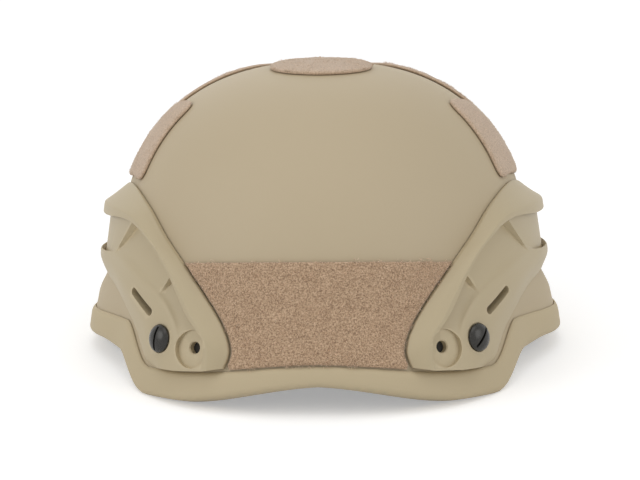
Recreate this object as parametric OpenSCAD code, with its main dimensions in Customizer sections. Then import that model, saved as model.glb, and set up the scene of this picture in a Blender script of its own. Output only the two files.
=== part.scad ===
// Mid-cut combat helmet with side rails, loop patches, pads and a chin harness.
// Millimetres. +X is the wearer's left, -Y the front, +Z up, standing on its rim.

/* [Shell] */
// Half width of the dome above the ears
half_width = 109; // [100:0.5:118]
// Half length of the dome, front to rear
half_length = 128; // [118:0.5:138]
// Height of the widest level above the nape corner
waist_z = 53.5; // [45:0.5:62]
// Height of the crown above the nape corner
crown_z = 162.8; // [150:0.2:175]
// Thickness of the laminated wall
wall = 8; // [6:0.5:10]
// How far the wall swells out over the ears
ear_bulge = 11; // [6:0.5:14]
// How far the skirt flares at the rim
skirt_flare = 9; // [4:0.5:12]
// Height of the brow edge
brow_z = 44; // [36:0.5:52]
// Drop from the brow to the ear edge
ear_drop = 24; // [16:0.5:28]
// Drop from the ear edge to the nape corners
nape_drop = 20.1; // [14:0.5:24]
// Rise of the edge between the nape corners
nape_rise = 10.3; // [4:0.2:16]

/* [Edge trim] */
// Thickness of the moulded trim outside the wall
trim_t = 1.8; // [1.2:0.1:2.4]
// Height of the trim's inner leg
trim_inner = 9; // [6:0.5:12]

/* [Side rails] */
// Thickness of the rail's edge where it meets the shell
rail_edge = 2.6; // [1.8:0.1:3.4]
// Height of the dovetail lips over the shell
lip_h = 10.8; // [9:0.2:13]
// Height of the channel floor over the shell
floor_h = 6.6; // [5:0.2:8]
// Undercut of the dovetail behind each lip, as a share of the span
undercut = 0.15; // [0.05:0.01:0.2]
// Radius of the accessory bore near each rear tip
bore_r = 3; // [2.5:0.1:3.5]
// Radius of the flat-sided pocket round the bore
pocket_r = 9.4; // [8.5:0.1:10.5]
// Depth of the step behind each gusset
gusset_drop = 4.4; // [3:0.1:5]
// Half width of the strap slot in each rail
slot_r = 2.1; // [1.6:0.1:2.6]

/* [Hardware] */
// Radius of the slotted bolt heads
head_r = 7; // [6.5:0.1:8]
// Radius of the bolt shanks
shank_r = 2.5; // [2:0.1:3]

/* [Loop patches] */
// Thickness of the loop tape
tape_t = 2.4; // [1.5:0.1:3]
// Radius of the crown disc
disc_r = 28; // [22:0.5:34]
// Distance of the crown disc behind the middle of the dome
disc_back = 24; // [0:1:30]

/* [Pads and harness] */
// Thickness of the comfort pads
pad_t = 19; // [13:0.5:25]
// Radius of the crown pad
crown_pad_r = 58; // [48:0.5:64]
// Width of the webbing
web_w = 20; // [15:0.5:25]
// Thickness of the webbing
web_t = 1.4; // [1:0.1:2]
// Length of the sleeves that gather the webbing
sleeve_l = 12; // [10:0.5:16]

/* [Hidden] */
$fn = 32;
// Curve exponents of the plan and the dome, read from the photographed outline
plan_m = 2.1;
dome_n = 2.4;
// Air between two bodies that lie together
gap = 0.3;
// Inner face of the wall, then of the trim's inner leg
inner_h = -wall;
leg_h = inner_h - trim_t - gap;
// Middle of the webbing that lies along the inner wall
web_h = leg_h - gap - web_t / 2;
// Outer face of the strap tabs, clear of the wall's curve
tab_h = inner_h - 2 * gap;
eye_h = tab_h - 1.5;
// Bolt seats, as [azimuth, height]
front_bolt = [52, 63];
rear_bolt = [144.2, 28.8];
bore_at = [153.3, 26.3];
pocket_at = [153, 25.5];
slot_ends = [[132.8, 49.8], [140.1, 41.4]];

function fold(a) = abs((a + 900) % 360 - 180);
function ease(a, b, x) = let (t = max(0, min(1, (x - a) / (b - a)))) t * t * (3 - 2 * t);
function mix(a, b, t) = a + (b - a) * t;

// Plan radius, edge height and top of the trim band at an azimuth; 0 is the front
function plan_r(a) = let (s = abs(sin(a)), c = abs(cos(a)))
    pow(pow(s / half_width, plan_m) + pow(c / half_length, plan_m), -1 / plan_m);
function rim_z(a) = let (f = fold(a)) brow_z - ear_drop * ease(42, 72, f)
    - nape_drop * (0.15 * ease(106, 124, f) + 0.85 * ease(122, 138.5, f)) + nape_rise * ease(146, 182, f);
function band_z(a) = let (f = fold(a)) brow_z + 13 - (ear_drop - 0.4) * ease(44, 74, f)
    - (nape_drop - 0.2) * ease(125.3, 139.3, f) + nape_rise * 0.58 * ease(146, 180, f);
function edge_z(a) = rim_z(a) + trim_t + 0.2;

// Radius of the outer surface at an azimuth and a height
function wall_r(a, z) = let (
    f = fold(a),
    u = max(0, min(1, (z - waist_z) / (crown_z - waist_z))),
    ear = ease(38, 72, f) * (1 - ease(92, 122, f)) * (1 - ease(31, 68, z)),
    t = max(0, min(1.2, (78 - z) / 78)))
    plan_r(a) * pow(1 - pow(u, dome_n), 1 / dome_n) + ear_bulge * ear + skirt_flare * t * t;
function raw(a, z) = let (r = wall_r(a, z)) [r * sin(a), -r * cos(a), z];
function unit(v) = v / norm(v);
function normal(a, z) = unit(cross(raw(a + 0.4, z) - raw(a - 0.4, z), raw(a, z) - raw(a, z - 0.4)));
// Point at a height over the outer surface; below it for a negative height
function over(a, z, h) = z > crown_z - 0.0002 ? [0, 0, crown_z + h] : raw(a, z) + normal(a, z) * h;

// The dome seen from above: distance from the pole in degrees to height
function rho_z(p) = p >= 90 ? waist_z - (p - 90) * 1.1
    : waist_z + (crown_z - waist_z) * pow(sin(90 - p), 2 / dome_n);
function on_dome(q, h) = over(atan2(q.x, -q.y), rho_z(norm(q)), h);
function polar(a, p) = [p * sin(a), -p * cos(a)];

// How far the helmet leans forward to stand on its ears and nape corners at once
rim_pts = [for (a = [48:2:180]) over(a, rim_z(a), -2)];
function dip(t, rear) = min([for (p = rim_pts) if ((p[1] > 40) == rear) p[2] * cos(t) + p[1] * sin(t)]);
function settle(lo, hi, n) = let (m = (lo + hi) / 2)
    n == 0 ? m : dip(m, false) > dip(m, true) ? settle(m, hi, n - 1) : settle(lo, m, n - 1);
lean = settle(0, 20, 14);
lift = -dip(lean, true);
front_y = -half_length - 12.5;
rear_y = max([for (a = [150:2:180]) over(a, rim_z(a) + 4, 2)[1]]);
shift_y = -(front_y * cos(lean) - 60 * sin(lean) + rear_y * cos(lean) - 12 * sin(lean)) / 2;

module seated() {
    translate([0, shift_y, lift]) rotate([lean, 0, 0]) children();
}

// Child with its Z along the wall's normal, its X level
module at_wall(a, z, h = 0) {
    n = normal(a, z);
    translate(over(a, z, h)) rotate([0, acos(n[2]), atan2(n[1], n[0])]) rotate(90) children();
}

// Child with X along t and Z along n
module framed(p, t, n) {
    x = unit(t);
    y = unit(cross(n, x));
    z = cross(x, y);
    multmatrix([[x[0], y[0], z[0], p[0]], [x[1], y[1], z[1], p[1]], [x[2], y[2], z[2], p[2]]]) children();
}

// Closed solid from rings of points, each ring of the same count
module rings(r, loop = false) {
    n = len(r[0]);
    m = len(r);
    side = [for (i = [0:m - (loop ? 1 : 2)], j = [0:n - 1])
        let (k = (j + 1) % n, a = i * n, b = (i + 1) % m * n)
        each [[a + j, b + k, a + k], [a + j, b + j, b + k]]];
    caps = loop ? [] : concat([for (j = [1:n - 2]) [0, j, j + 1]],
        [for (j = [1:n - 2]) [(m - 1) * n, (m - 1) * n + j + 1, (m - 1) * n + j]]);
    polyhedron([for (q = r) each q], concat(side, caps));
}

// Slab that lies on the wall: an outline around a centre, low and high give the
// heights at a share of the way out, and flat picks [azimuth, height] coordinates
module slab(outline, centre, steps, low, high, flat = false) {
    n = len(outline);
    m = len(steps);
    top = [for (s = steps) [for (p = outline) let (q = mix(centre, p, s[0]))
        flat ? over(q[0], q[1], s[1] * (high - low) + low) : on_dome(q, s[1] * (high - low) + low)]];
    base = [for (s = steps) [for (p = outline) let (q = mix(centre, p, s[0]))
        flat ? over(q[0], q[1], s[2] * (high - low) + low) : on_dome(q, s[2] * (high - low) + low)]];
    all = concat([for (r = top) each r], [for (i = [m - 1:-1:0]) each base[i]]);
    tip = [for (k = [1, 2]) let (h = steps[0][k] * (high - low) + low)
        flat ? over(centre[0], centre[1], h) : on_dome(centre, h)];
    c = 2 * m * n;
    up = high > low;
    quads = [for (i = [0:2 * m - 2], j = [0:n - 1]) let (k = (j + 1) % n, a = i * n, b = a + n)
        each [[a + j, a + k, b + k], [a + j, b + k, b + j]]];
    fans = [for (j = [0:n - 1]) let (k = (j + 1) % n, e = (2 * m - 1) * n)
        each [[c, k, j], [c + 1, e + j, e + k]]];
    polyhedron(concat(all, tip), [for (f = concat(quads, fans)) up ? f : [f[2], f[1], f[0]]]);
}

// Flat tape along a list of [point, normal]
module ribbon(path, w = web_w, t = web_t) {
    m = len(path);
    rings([for (i = [0:m - 1]) let (
        p = path[i][0],
        n = path[i][1],
        d = unit(path[min(m - 1, i + 1)][0] - path[max(0, i - 1)][0]),
        s = unit(cross(n, d)) * w / 2,
        e = unit(cross(d, s)) * t / 2)
        [p + s + e, p - s + e, p - s - e, p + s - e]]);
}
// Stretch of path along the wall between two places
function along(a, b, h0, h1, n) = [for (i = [0:n]) let (
    t = i / n, q = mix(a, b, t)) [over(q[0], q[1], mix(h0, h1, t)), normal(q[0], q[1])]];
// Straight stretch between two points, with one normal
function chord(p, q, n, t0, t1, m) = [for (i = [0:m]) [mix(p, q, mix(t0, t1, i / m)), n]];
function mirrored(path) = [for (p = path) [[-p[0][0], p[0][1], p[0][2]], [-p[1][0], p[1][1], p[1][2]]]];

// Outline with rounded corners from corner points
function rounded(c, r, n = 4) = [for (i = [0:len(c) - 1]) let (
    p = c[i], a = c[(i + len(c) - 1) % len(c)], b = c[(i + 1) % len(c)],
    u = p + unit(a - p) * r, v = p + unit(b - p) * r)
    for (k = [0:n]) let (t = k / n) mix(mix(u, p, t), mix(p, v, t), t)];
// Outline with more points along its straight runs
function dense(c, d) = [for (i = [0:len(c) - 1]) let (p = c[i], q = c[(i + 1) % len(c)],
    n = max(1, round(norm(q - p) / d))) for (k = [0:n - 1]) mix(p, q, k / n)];
function flip(c) = [for (i = [len(c) - 1:-1:0]) [-c[i].x, c[i].y]];

// Shell: laminated dome with its cut for brow, ears and nape, drilled for the hardware
shell_a = [for (a = [0:6:354]) a];
function levels(a) = concat([for (j = [0:9]) mix(edge_z(a), 96, j / 10)],
    [for (j = [0:8]) waist_z + (crown_z - waist_z) * pow(sin(mix(20.5, 85, j / 8)), 2 / dome_n)]);
module shell() {
    n = len(shell_a);
    m = len(levels(0));
    outer = [for (j = [0:m - 1]) [for (a = shell_a) over(a, levels(a)[j], 0)]];
    inner = [for (j = [m - 1:-1:0]) [for (a = shell_a) over(a, levels(a)[j], inner_h)]];
    pts = concat([for (r = outer) each r], [for (r = inner) each r]);
    quads = [for (i = [0:2 * m - 1], j = [0:n - 1]) if (i != m - 1) let (
        k = (j + 1) % n, a = i * n, b = (i + 1) % (2 * m) * n)
        each [[a + j, b + k, a + k], [a + j, b + j, b + k]]];
    c = 2 * m * n;
    caps = [for (j = [0:n - 1]) let (k = (j + 1) % n, a = (m - 1) * n, b = m * n)
        each [[c, a + k, a + j], [c + 1, b + j, b + k]]];
    color("#b8aa8a") seated() difference() {
        polyhedron(concat(pts, [over(0, crown_z, 0), over(0, crown_z, inner_h)]), concat(quads, caps));
        for (s = [-1, 1], b = [front_bolt, rear_bolt])
            at_wall(s * b[0], b[1]) translate([0, 0, -wall - 4]) cylinder(h = wall + 8, r = shank_r + 0.2);
        for (b = shroud_holes)
            at_wall(b[0], b[1]) translate([0, 0, -wall - 4]) cylinder(h = wall + 8, r = screw_r + 0.2);
    }
}

// Trim: moulded U section pushed over the whole edge
module edge_trim() {
    section = function (a) let (z = rim_z(a), t = band_z(a), i = z + trim_inner, f = inner_h - gap) [
        [gap, t], [trim_t * 0.7, t], [trim_t + 0.2, t - 0.9], [trim_t + 0.2, z + 2.4], [0.9, z + 0.6],
        [-1, z], [inner_h + 1, z], [leg_h + 0.4, z + 0.9], [leg_h, z + 2.6], [leg_h, i - 0.7],
        [leg_h + 0.6, i], [f, i], [f - 0.15, mix(z + trim_t, i, 0.5)], [f, z + trim_t],
        [gap, z + trim_t], [gap + 0.1, mix(z + trim_t, t, 0.35)], [gap + 0.15, mix(z + trim_t, t, 0.7)]];
    color("#b5a787") seated()
        rings([for (a = shell_a) [for (p = section(a)) over(a, p[1], p[0])]], loop = true);
}

// Rail: lines of the upper edge, recess, crease and lower edge from temple to nape tip
rail_rows = [
    [[40, 76], [40, 72], [40, 65], [40, 60.5]],
    [[44, 81], [44, 75], [44, 64], [44, 58.8]],
    [[56, 87.5], [56, 80.5], [56, 62], [56, 53.5]],
    [[66, 94], [65, 85.5], [65, 63], [65, 51.2]],
    [[90, 97.8], [90, 85.5], [90, 63.5], [90, 51]],
    [[114.4, 101.2], [111, 85.4], [106, 65], [101, 51.2]],
    [[131.4, 92.8], [129.7, 84.8], [118.4, 66.4], [113.6, 47.6]],
    [[143.2, 75.6], [140, 75.9], [130.8, 60.6], [124.1, 38.8]],
    [[151.6, 58.6], [146.4, 62.6], [141.8, 50.4], [131, 29.7]],
    [[158.4, 40.2], [151.9, 43], [147, 40], [134.4, 21.8]],
    [[161, 26.6], [156.1, 29.8], [149.2, 28.4], [136.8, 16.8]],
    [[160, 17.3], [156.4, 15.2], [149, 13.9], [141, 13.9]]];
// Heights at each row: upper edge, flange middle, lip, lip foot, floor, crease, low band, shoulder
rail_rise = [
    [rail_edge - 0.6, 3, 3.6, 3.4, 3.4, 3.6, 3.4, 2.4],
    [rail_edge, 5.4, 6.2, 6, 5.4, 5.6, 6.2, 4.6],
    [rail_edge - 0.4, 6.2, 7.6, 7.2, 6, 6.4, 6.6, 4.8],
    [rail_edge - 0.8, 6.2, lip_h - 0.6, lip_h - 2, floor_h, 9, 8.4, 3.8],
    [rail_edge - 0.8, 6.4, lip_h, lip_h - 1.4, floor_h, 9.3, 8.8, 3.4],
    [rail_edge - 0.8, 6.4, lip_h - 0.2, lip_h - 1.6, floor_h, 9, 8.5, 3.6],
    [rail_edge - 0.2, 7, 9.4, 8.8, floor_h, 6.8, 7.3, 3.8],
    [rail_edge, 7, 9, 8.4, floor_h - 0.4, 6.6, 7.4, 3.8],
    [rail_edge, 6.8, 9, 8.4, floor_h - 0.4, 6.6, 7.4, 4],
    [rail_edge, 6.8, 9, 8.2, floor_h - 0.6, 6.6, 7.4, 4.2],
    [rail_edge, 6.6, 8.6, 7.8, floor_h, 7, 7.4, 4.4],
    [rail_edge, 5.6, 7, 6.8, floor_h, 6.6, 6.6, 3.4]];
// Which rows carry the dovetail undercut, and the run over which the floor drops behind each gusset
rail_dove = [0, 0, 0.2, 1, 1, 1, 0.25, 0, 0, 0, 0, 0];
gusset_rows = [6, 8];
gusset_run = 0.05;

function row_mix(list, t) = let (i = min(len(list) - 2, floor(t)), f = t - i) mix(list[i], list[i + 1], f);
function rail_section(t, drop) = let (
    p = row_mix(rail_rows, t), h = row_mix(rail_rise, t), k = row_mix(rail_dove, t) * undercut,
    u = p[0], r = p[1], c = p[2], l = p[3], w = ease(5.2, 6.4, t))
    [[u, 0.6], [u, h[0]], [mix(u, r, 0.45), h[1]], [mix(u, r, 0.8), h[2]], [mix(r, c, 0.02), h[2] - 0.2],
    [mix(r, c, 0.03), h[3]], [mix(r, c, 0.05 - k), h[4] - drop],
    [mix(r, c, mix(0.98, 0.84, w) + k), h[4] - drop * mix(0.1, 0.16, w) - 0.2],
    [c, h[5]], [mix(c, l, mix(0.08, 0.16, w)), h[5] + mix(0.5, 0.25, w)],
    [mix(c, l, 0.5), h[6]], [mix(c, l, 0.88), h[7]],
    [l, 1.5], [l, 0.6], [mix(l, u, 0.2), 0.6], [mix(l, u, 0.4), 0.6], [mix(l, u, 0.6), 0.6],
    [mix(l, u, 0.8), 0.6]];
function rail_points(t, drop) = [for (s = rail_section(t, drop)) over(s[0][0], s[0][1], s[1])];
function drop_at(t) = let (d = [for (g = gusset_rows) if (t > g && t < g + 2)
    gusset_drop * min(1, (t - g) / gusset_run) * (1 - (t - g) / 2)])
    len(d) == 0 ? 0 : max(d);
rail_t = concat([for (i = [0:0.25:6]) i], [6 + gusset_run], [for (i = [6.25:0.25:8]) i], [8 + gusset_run],
    [for (i = [8.25:0.25:11]) i]);

module rail_body() {
    difference() {
        rings([for (t = rail_t) [for (p = rail_points(t, drop_at(t))) p]]);
        for (b = [front_bolt, rear_bolt])
            at_wall(b[0], b[1], -2) cylinder(h = 20, r = shank_r + 0.2);
        at_wall(rear_bolt[0], rear_bolt[1], 6.4) cylinder(h = 20, r = head_r + 0.3);
        at_wall(front_bolt[0], front_bolt[1], 4.6) cylinder(h = 20, r = head_r + 0.3);
        at_wall(bore_at[0], bore_at[1], -2) cylinder(h = 20, r = bore_r);
        at_wall(bore_at[0], bore_at[1], 3.6) cylinder(h = 20, r = bore_r + 0.9);
        at_wall(pocket_at[0], pocket_at[1], 4.2) intersection() {
            cylinder(h = 20, r = pocket_r);
            translate([-1.2 * pocket_r, -1.2 * pocket_r, 0]) cube([2.07 * pocket_r, 2.4 * pocket_r, 20]);
        }
        rail_slot();
    }
}
// Strap slot through the lower band, square to the wall, with round ends
module rail_slot() {
    a = over(slot_ends[0][0], slot_ends[0][1], 0);
    b = over(slot_ends[1][0], slot_ends[1][1], 0);
    m = (slot_ends[0] + slot_ends[1]) / 2;
    half = norm(b - a) / 2;
    framed((a + b) / 2, b - a, normal(m[0], m[1])) {
        translate([-half, -slot_r, -2]) cube([2 * half, 2 * slot_r, 2 * lip_h]);
        for (s = [-1, 1]) translate([s * half, 0, -2]) cylinder(h = 2 * lip_h, r = slot_r);
    }
}
module rail_left() {
    color("#b4a686") seated() rail_body();
}
module rail_right() {
    color("#b4a686") seated() mirror([1, 0, 0]) rail_body();
}

// Bolts: domed head with a screwdriver slot, shank through rail, shell and bracket
module bolt(b, seat) {
    at_wall(b[0], b[1], seat) {
        difference() {
            rotate_extrude($fn = 40) polygon([[0, 0], [head_r, 0], [head_r, 0.7], [head_r * 0.93, 1.6],
                [head_r * 0.74, 2.6], [head_r * 0.45, 3.4], [0, 3.8]]);
            translate([-head_r - 1, -0.6, 2]) cube([2 * head_r + 2, 1.2, 3]);
        }
        translate([0, 0, -seat - wall - 6]) cylinder(h = seat + wall + 6.1, r = shank_r);
    }
}
module rail_bolts() {
    color("#3c3f44") seated() for (s = [-1, 1]) {
        bolt([s * rear_bolt[0], rear_bolt[1]], 6.8);
        bolt([s * front_bolt[0], front_bolt[1]], 5);
    }
}
module bolt_nuts() {
    color("#8c8f92") seated() for (s = [-1, 1], b = [front_bolt, rear_bolt])
        at_wall(s * b[0], b[1], tab_h - 1.5 - gap) difference() {
            union() {
                translate([0, 0, -1.4]) cylinder(h = 1.4, r = 6);
                translate([0, 0, -3.6]) cylinder(h = 3, r = 4, $fn = 6);
            }
            translate([0, 0, -5]) cylinder(h = 6, r = shank_r + 0.05);
        }
}

// Strap tabs: stamped eye under each nut, with a tail that the webbing is sewn on
module tab(s, b, turns) {
    mirror([s < 0 ? 1 : 0, 0, 0]) difference() {
        union() {
            at_wall(b[0], b[1], eye_h) cylinder(h = 1.5, r = 8);
            for (t = turns)
                ribbon(along(tab_end(b, t, 3), tab_end(b, t, 26), eye_h + 0.75, eye_h + 0.75, 4),
                    web_w - 2, 1.5);
        }
        at_wall(b[0], b[1], tab_h - 4) cylinder(h = 8, r = shank_r + 0.2);
    }
}
module strap_tabs() {
    color("#3f4145") seated() for (s = [-1, 1]) {
        tab(s, front_bolt, [front_turn]);
        tab(s, rear_bolt, [-86, 90]);
    }
}

// Front mount plate with its pocket and screws
screw_r = 2;
shroud_holes = [[0, 118], [-9, 72], [9, 72]];
shroud_out = rounded([[-12, 63], [12, 63], [14.5, 76], [12, 108], [6, 124], [-6, 124], [-12, 108],
    [-14.5, 76]], 2.5, 2);
module shroud() {
    color("#4a4c4e") seated() difference() {
        union() {
            slab(dense(shroud_out, 5), [0, 93], [[0.4, 1, 0.1], [0.92, 1, 0.05], [1, 0.75, 0]],
                gap, 4.2, flat = true);
            at_wall(0, 92, 2) translate([-21, -18, 0]) cube([42, 36, 8]);
        }
        at_wall(0, 92, 5) translate([-17, -14, 0]) cube([34, 28, 9]);
        for (b = shroud_holes) at_wall(b[0], b[1], -2) {
            cylinder(h = 20, r = screw_r + 0.2);
            translate([0, 0, 4.8]) cylinder(h = 20, r = 4);
        }
    }
}
module shroud_screws() {
    color("#2f3032") seated() for (b = shroud_holes) at_wall(b[0], b[1], 4.6) difference() {
        union() {
            cylinder(h = 2, r = 3.6);
            translate([0, 0, -4.6 - wall - 2.6]) cylinder(h = wall + 7.3, r = screw_r);
        }
        translate([-4, -0.5, 1.1]) cube([8, 1, 2]);
    }
}
module shroud_nuts() {
    color("#8c8f92") seated() for (b = shroud_holes) at_wall(b[0], b[1], inner_h - 2 * gap) difference() {
        translate([0, 0, -2.4]) cylinder(h = 2.4, r = 3.6, $fn = 6);
        translate([0, 0, -3]) cylinder(h = 4, r = screw_r + 0.05);
    }
}

// Loop patches: tape cut to shape and stuck on the shell
tape_steps = [[0.3, 1, 0.2], [0.62, 1, 0.17], [0.94, 1, 0.09], [1, 0.7, 0.04]];
rear_steps = [for (t = [0.16:0.16:0.96]) [t, 1, 0.08], [1, 0.7, 0.05]];
module tape(outline, centre, flat = false, steps = tape_steps) {
    slab(outline, centre, steps, gap, tape_t + gap, flat);
}
front_out = dense(rounded([polar(20, 17), polar(74, 17), polar(88, 44), polar(66, 68), polar(42, 72),
    polar(19, 66), polar(17, 44)], 5, 2), 7);
side_out = dense(rounded([polar(96, 41.5), polar(125, 38.6), polar(122, 67.4), polar(101, 67.2),
    polar(79, 66.9)], 3.4, 3), 6);
rear_side = [for (i = [0:7]) let (q = row_mix(rail_rows, mix(7.5, 10.75, i / 7))[0]) [q[0] + 0.5, q[1]]];
rear_out = concat([for (i = [1:7]) let (a = mix(rear_side[0][0], 360 - rear_side[0][0], i / 8))
    [a, 69.8 - 2.2 * pow((a - 180) / 28, 2)]],
    [for (q = rear_side) [360 - q[0], q[1]]],
    [for (i = [0:6]) let (a = mix(197.6, 162.4, i / 6)) [a, band_z(a) + 0.8]],
    [for (i = [7:-1:0]) rear_side[i]]);
// Point of the dome over a true place in plan, and a true circle of such points
function dome_spot(x, y) = let (a = atan2(x, -y))
    polar(a, 90 - acos(pow(norm([x, y]) / plan_r(a), dome_n / 2)));
function crown_ring(r, n, back = 0) = [for (i = [0:n - 1]) let (a = i * 360 / n)
    dome_spot(r * sin(a), back - r * cos(a))];
module patch_crown() {
    color("#b39478") seated() tape(crown_ring(disc_r, 36, disc_back), dome_spot(0, disc_back));
}
module patch_front_left() {
    color("#b39478") seated() tape(front_out, polar(50, 45));
}
module patch_front_right() {
    color("#b39478") seated() tape(flip(front_out), polar(-50, 45));
}
module patch_side_left() {
    color("#b39478") seated() tape(side_out, polar(106, 53));
}
module patch_side_right() {
    color("#b39478") seated() tape(flip(side_out), polar(-106, 53));
}
module patch_rear() {
    color("#b39478") seated() tape(rear_out, [180, 46], true, rear_steps);
}

// Pads: cloth-covered foam with a crowned face and drawn-in sides, on hook discs
pad_steps = [[0.45, 0.98, 0], [0.8, 0.9, 0], [0.95, 0.66, 0.02], [1, 0.4, 0.1]];
module pad(outline, centre, flat = false) {
    slab(outline, centre, pad_steps, inner_h - 1.9, inner_h - 1.9 - pad_t, flat);
}
front_pad = dense(rounded([[-30, 79], [30, 79], [33, 100], [26, 112], [-26, 112], [-33, 100]], 5, 3), 7);
rear_pad = dense(rounded([[151, 52], [209, 52], [213, 74], [205, 94], [155, 94], [147, 74]], 6, 3), 7);
side_pad_f = dense(rounded([[49, 82], [82, 72], [86, 96], [80, 116], [50, 116]], 6, 3), 7);
side_pad_r = dense(rounded([[95, 68], [124, 62], [134, 82], [128, 112], [95, 114]], 6, 3), 7);
function mean(c) = [for (k = [0, 1]) let (s = [for (p = c) p[k]]) (min(s) + max(s)) / 2];
function neg(c) = [for (i = [len(c) - 1:-1:0]) [-c[i].x, c[i].y]];
module pad_front() {
    color("#4b4a44") seated() pad(front_pad, mean(front_pad), flat = true);
}
module pad_rear() {
    color("#4b4a44") seated() pad(rear_pad, mean(rear_pad), flat = true);
}
module pad_crown() {
    color("#4b4a44") seated() pad(crown_ring(crown_pad_r, 30), [0, 0]);
}
module pads_side_left() {
    color("#4b4a44") seated() for (c = [side_pad_f, side_pad_r]) pad(c, mean(c), flat = true);
}
module pads_side_right() {
    color("#4b4a44") seated() for (c = [side_pad_f, side_pad_r]) pad(neg(c), mean(neg(c)), flat = true);
}
pad_spots = [mean(front_pad), mean(rear_pad), mean(side_pad_f), mean(side_pad_r),
    mean(neg(side_pad_f)), mean(neg(side_pad_r))];
module pad_discs() {
    color("#26261f") seated() {
        for (p = pad_spots) at_wall(p[0], p[1], inner_h - 1.8) cylinder(h = 0.65, r = 9);
        translate([0, 0, crown_z + inner_h - 1.8]) cylinder(h = 0.65, r = 9);
    }
}

// Harness stowed round the inside of the rim. The wearer's left holds the buckle
front_turn = 72;
joint_at = [93, 46.1];
joint_h = web_h - 3.9;
sewn_h = web_h - gap;
chin_h = joint_h - 3.4;
chord_a = over(80, 41.8, chin_h);
chord_b = over(44, 57.6, chin_h);
chord_n = unit(normal(80, 41.8) + normal(44, 57.6));
chord_d = unit(chord_b - chord_a);
chord_len = norm(chord_b - chord_a);
function tab_end(b, turn, d) = let (r = wall_r(b[0], b[1]) - 10)
    [b[0] + sin(turn) * d / r * 57.3, b[1] - cos(turn) * d];
side_path = concat(
    along(tab_end(front_bolt, front_turn, 10), tab_end(front_bolt, front_turn, 24), sewn_h, sewn_h, 2),
    along(mix(tab_end(front_bolt, front_turn, 24), joint_at, 0.12), joint_at, sewn_h, joint_h, 8),
    along(mix(joint_at, tab_end(rear_bolt, -86, 24), 0.1), tab_end(rear_bolt, -86, 24), joint_h, sewn_h, 8),
    along(tab_end(rear_bolt, -86, 20), tab_end(rear_bolt, -86, 10), sewn_h, sewn_h, 1));
module side_strap_left() {
    color("#8f8262") seated() ribbon(side_path);
}
module side_strap_right() {
    color("#8f8262") seated() mirror([1, 0, 0]) ribbon(side_path);
}
// Sleeve that gathers the side strap and the chin webbing below the ear
module sleeve() {
    p = over(joint_at[0], joint_at[1], (joint_h + chin_h) / 2);
    x = over(joint_at[0] - 3, joint_at[1] + 0.35, 0) - over(joint_at[0] + 3, joint_at[1] - 0.35, 0);
    slot = [2 * sleeve_l, web_w + 5.6, 2 * web_t + 0.5];
    framed(p, x, normal(joint_at[0], joint_at[1])) difference() {
        cube([sleeve_l, slot[1] + 1.6, 8.6], center = true);
        for (z = [-1.85, 1.85]) translate([0, 0, z]) cube(slot, center = true);
    }
}
module sleeves() {
    color("#2e2f2b") seated() {
        sleeve();
        mirror([1, 0, 0]) sleeve();
    }
}
end_path = along([95.5, 45], [81.5, 42.2], chin_h, chin_h, 5);
module buckle_strap() {
    color("#8f8262") seated() ribbon(concat(end_path, chord(chord_a, chord_b, chord_n, 0.02, 0.3, 3)));
}
brow_z0 = brow_z + 13.5;
brow_path = concat(along([43, 57.7], [28, brow_z0], chin_h, web_h, 4),
    along([24, brow_z0], [12, brow_z0], web_h, web_h, 3));
module chin_strap() {
    left = concat(chord(chord_a, chord_b, chord_n, 0.46, 0.98, 3), brow_path);
    right = concat(end_path, chord(chord_a, chord_b, chord_n, 0.02, 0.98, 6), brow_path);
    back = mirrored(right);
    color("#8f8262") seated() ribbon(concat(left, along([8, brow_z0], [-8, brow_z0], web_h, web_h, 3),
        [for (i = [len(back) - 1:-1:0]) back[i]]));
}
// Buckle: the socket takes two prongs; the webbing runs under a bridge on each half
mouth = 0.5;
module in_chord(t) {
    framed(mix(chord_a, chord_b, t), chord_d, chord_n) children();
}
module buckle_socket() {
    color("#2e2f2b") seated() in_chord(mouth) difference() {
        translate([-28, -13, -8.4]) cube([28, 26, 7.4]);
        translate([-17, -10.5, -7]) cube([18, 21, 4.6]);
        for (s = [-1, 1]) translate([-14, s * 12.5 - 3, -7]) cube([7, 6, 4.6]);
    }
    color("#2e2f2b") seated() in_chord(mouth) difference() {
        translate([-27, -13, -2.6]) cube([8, 26, 5]);
        translate([-28, -10.8, -1]) cube([10, 21.6, 2.1]);
    }
}
module buckle_prongs() {
    color("#2e2f2b") seated() in_chord(mouth) {
        translate([0.4, -13, -8.4]) cube([11, 26, 7.4]);
        for (s = [-1, 1]) translate([-15, s * 8 - 1.7, -6.6]) cube([16, 3.4, 3.8]);
        translate([-12, -2, -6.6]) cube([13, 4, 3.8]);
        difference() {
            translate([2, -13, -2.6]) cube([8, 26, 5]);
            translate([1, -10.8, -1]) cube([10, 21.6, 2.1]);
        }
    }
}
module strap_adjuster() {
    color("#2e2f2b") seated() mirror([1, 0, 0]) in_chord(0.62) difference() {
        translate([-8, -13, -2.6]) cube([16, 26, 5.2]);
        translate([-9, -10.8, -1.1]) cube([18, 21.6, 2.2]);
        translate([-4.5, -10.8, -4]) cube([9, 21.6, 3.2]);
    }
}
cup_path = [for (a = [-24:4:24]) a];
module chin_cup() {
    n = len(cup_path);
    color("#6f6650") seated() rings([for (a = cup_path) let (w = 15 * sqrt(max(0.12, 1 - pow(a / 27, 4))),
        d = 5.5 * (1 - pow(a / 30, 4)))
        [for (q = [[-1, 0], [-1, -2], [-0.7, -0.5 - d], [0, -1 - d], [0.7, -0.5 - d], [1, -2], [1, 0]])
            over(a, brow_z0 + q[0] * w, web_h - web_t / 2 - gap + q[1])]]);
}
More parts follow.
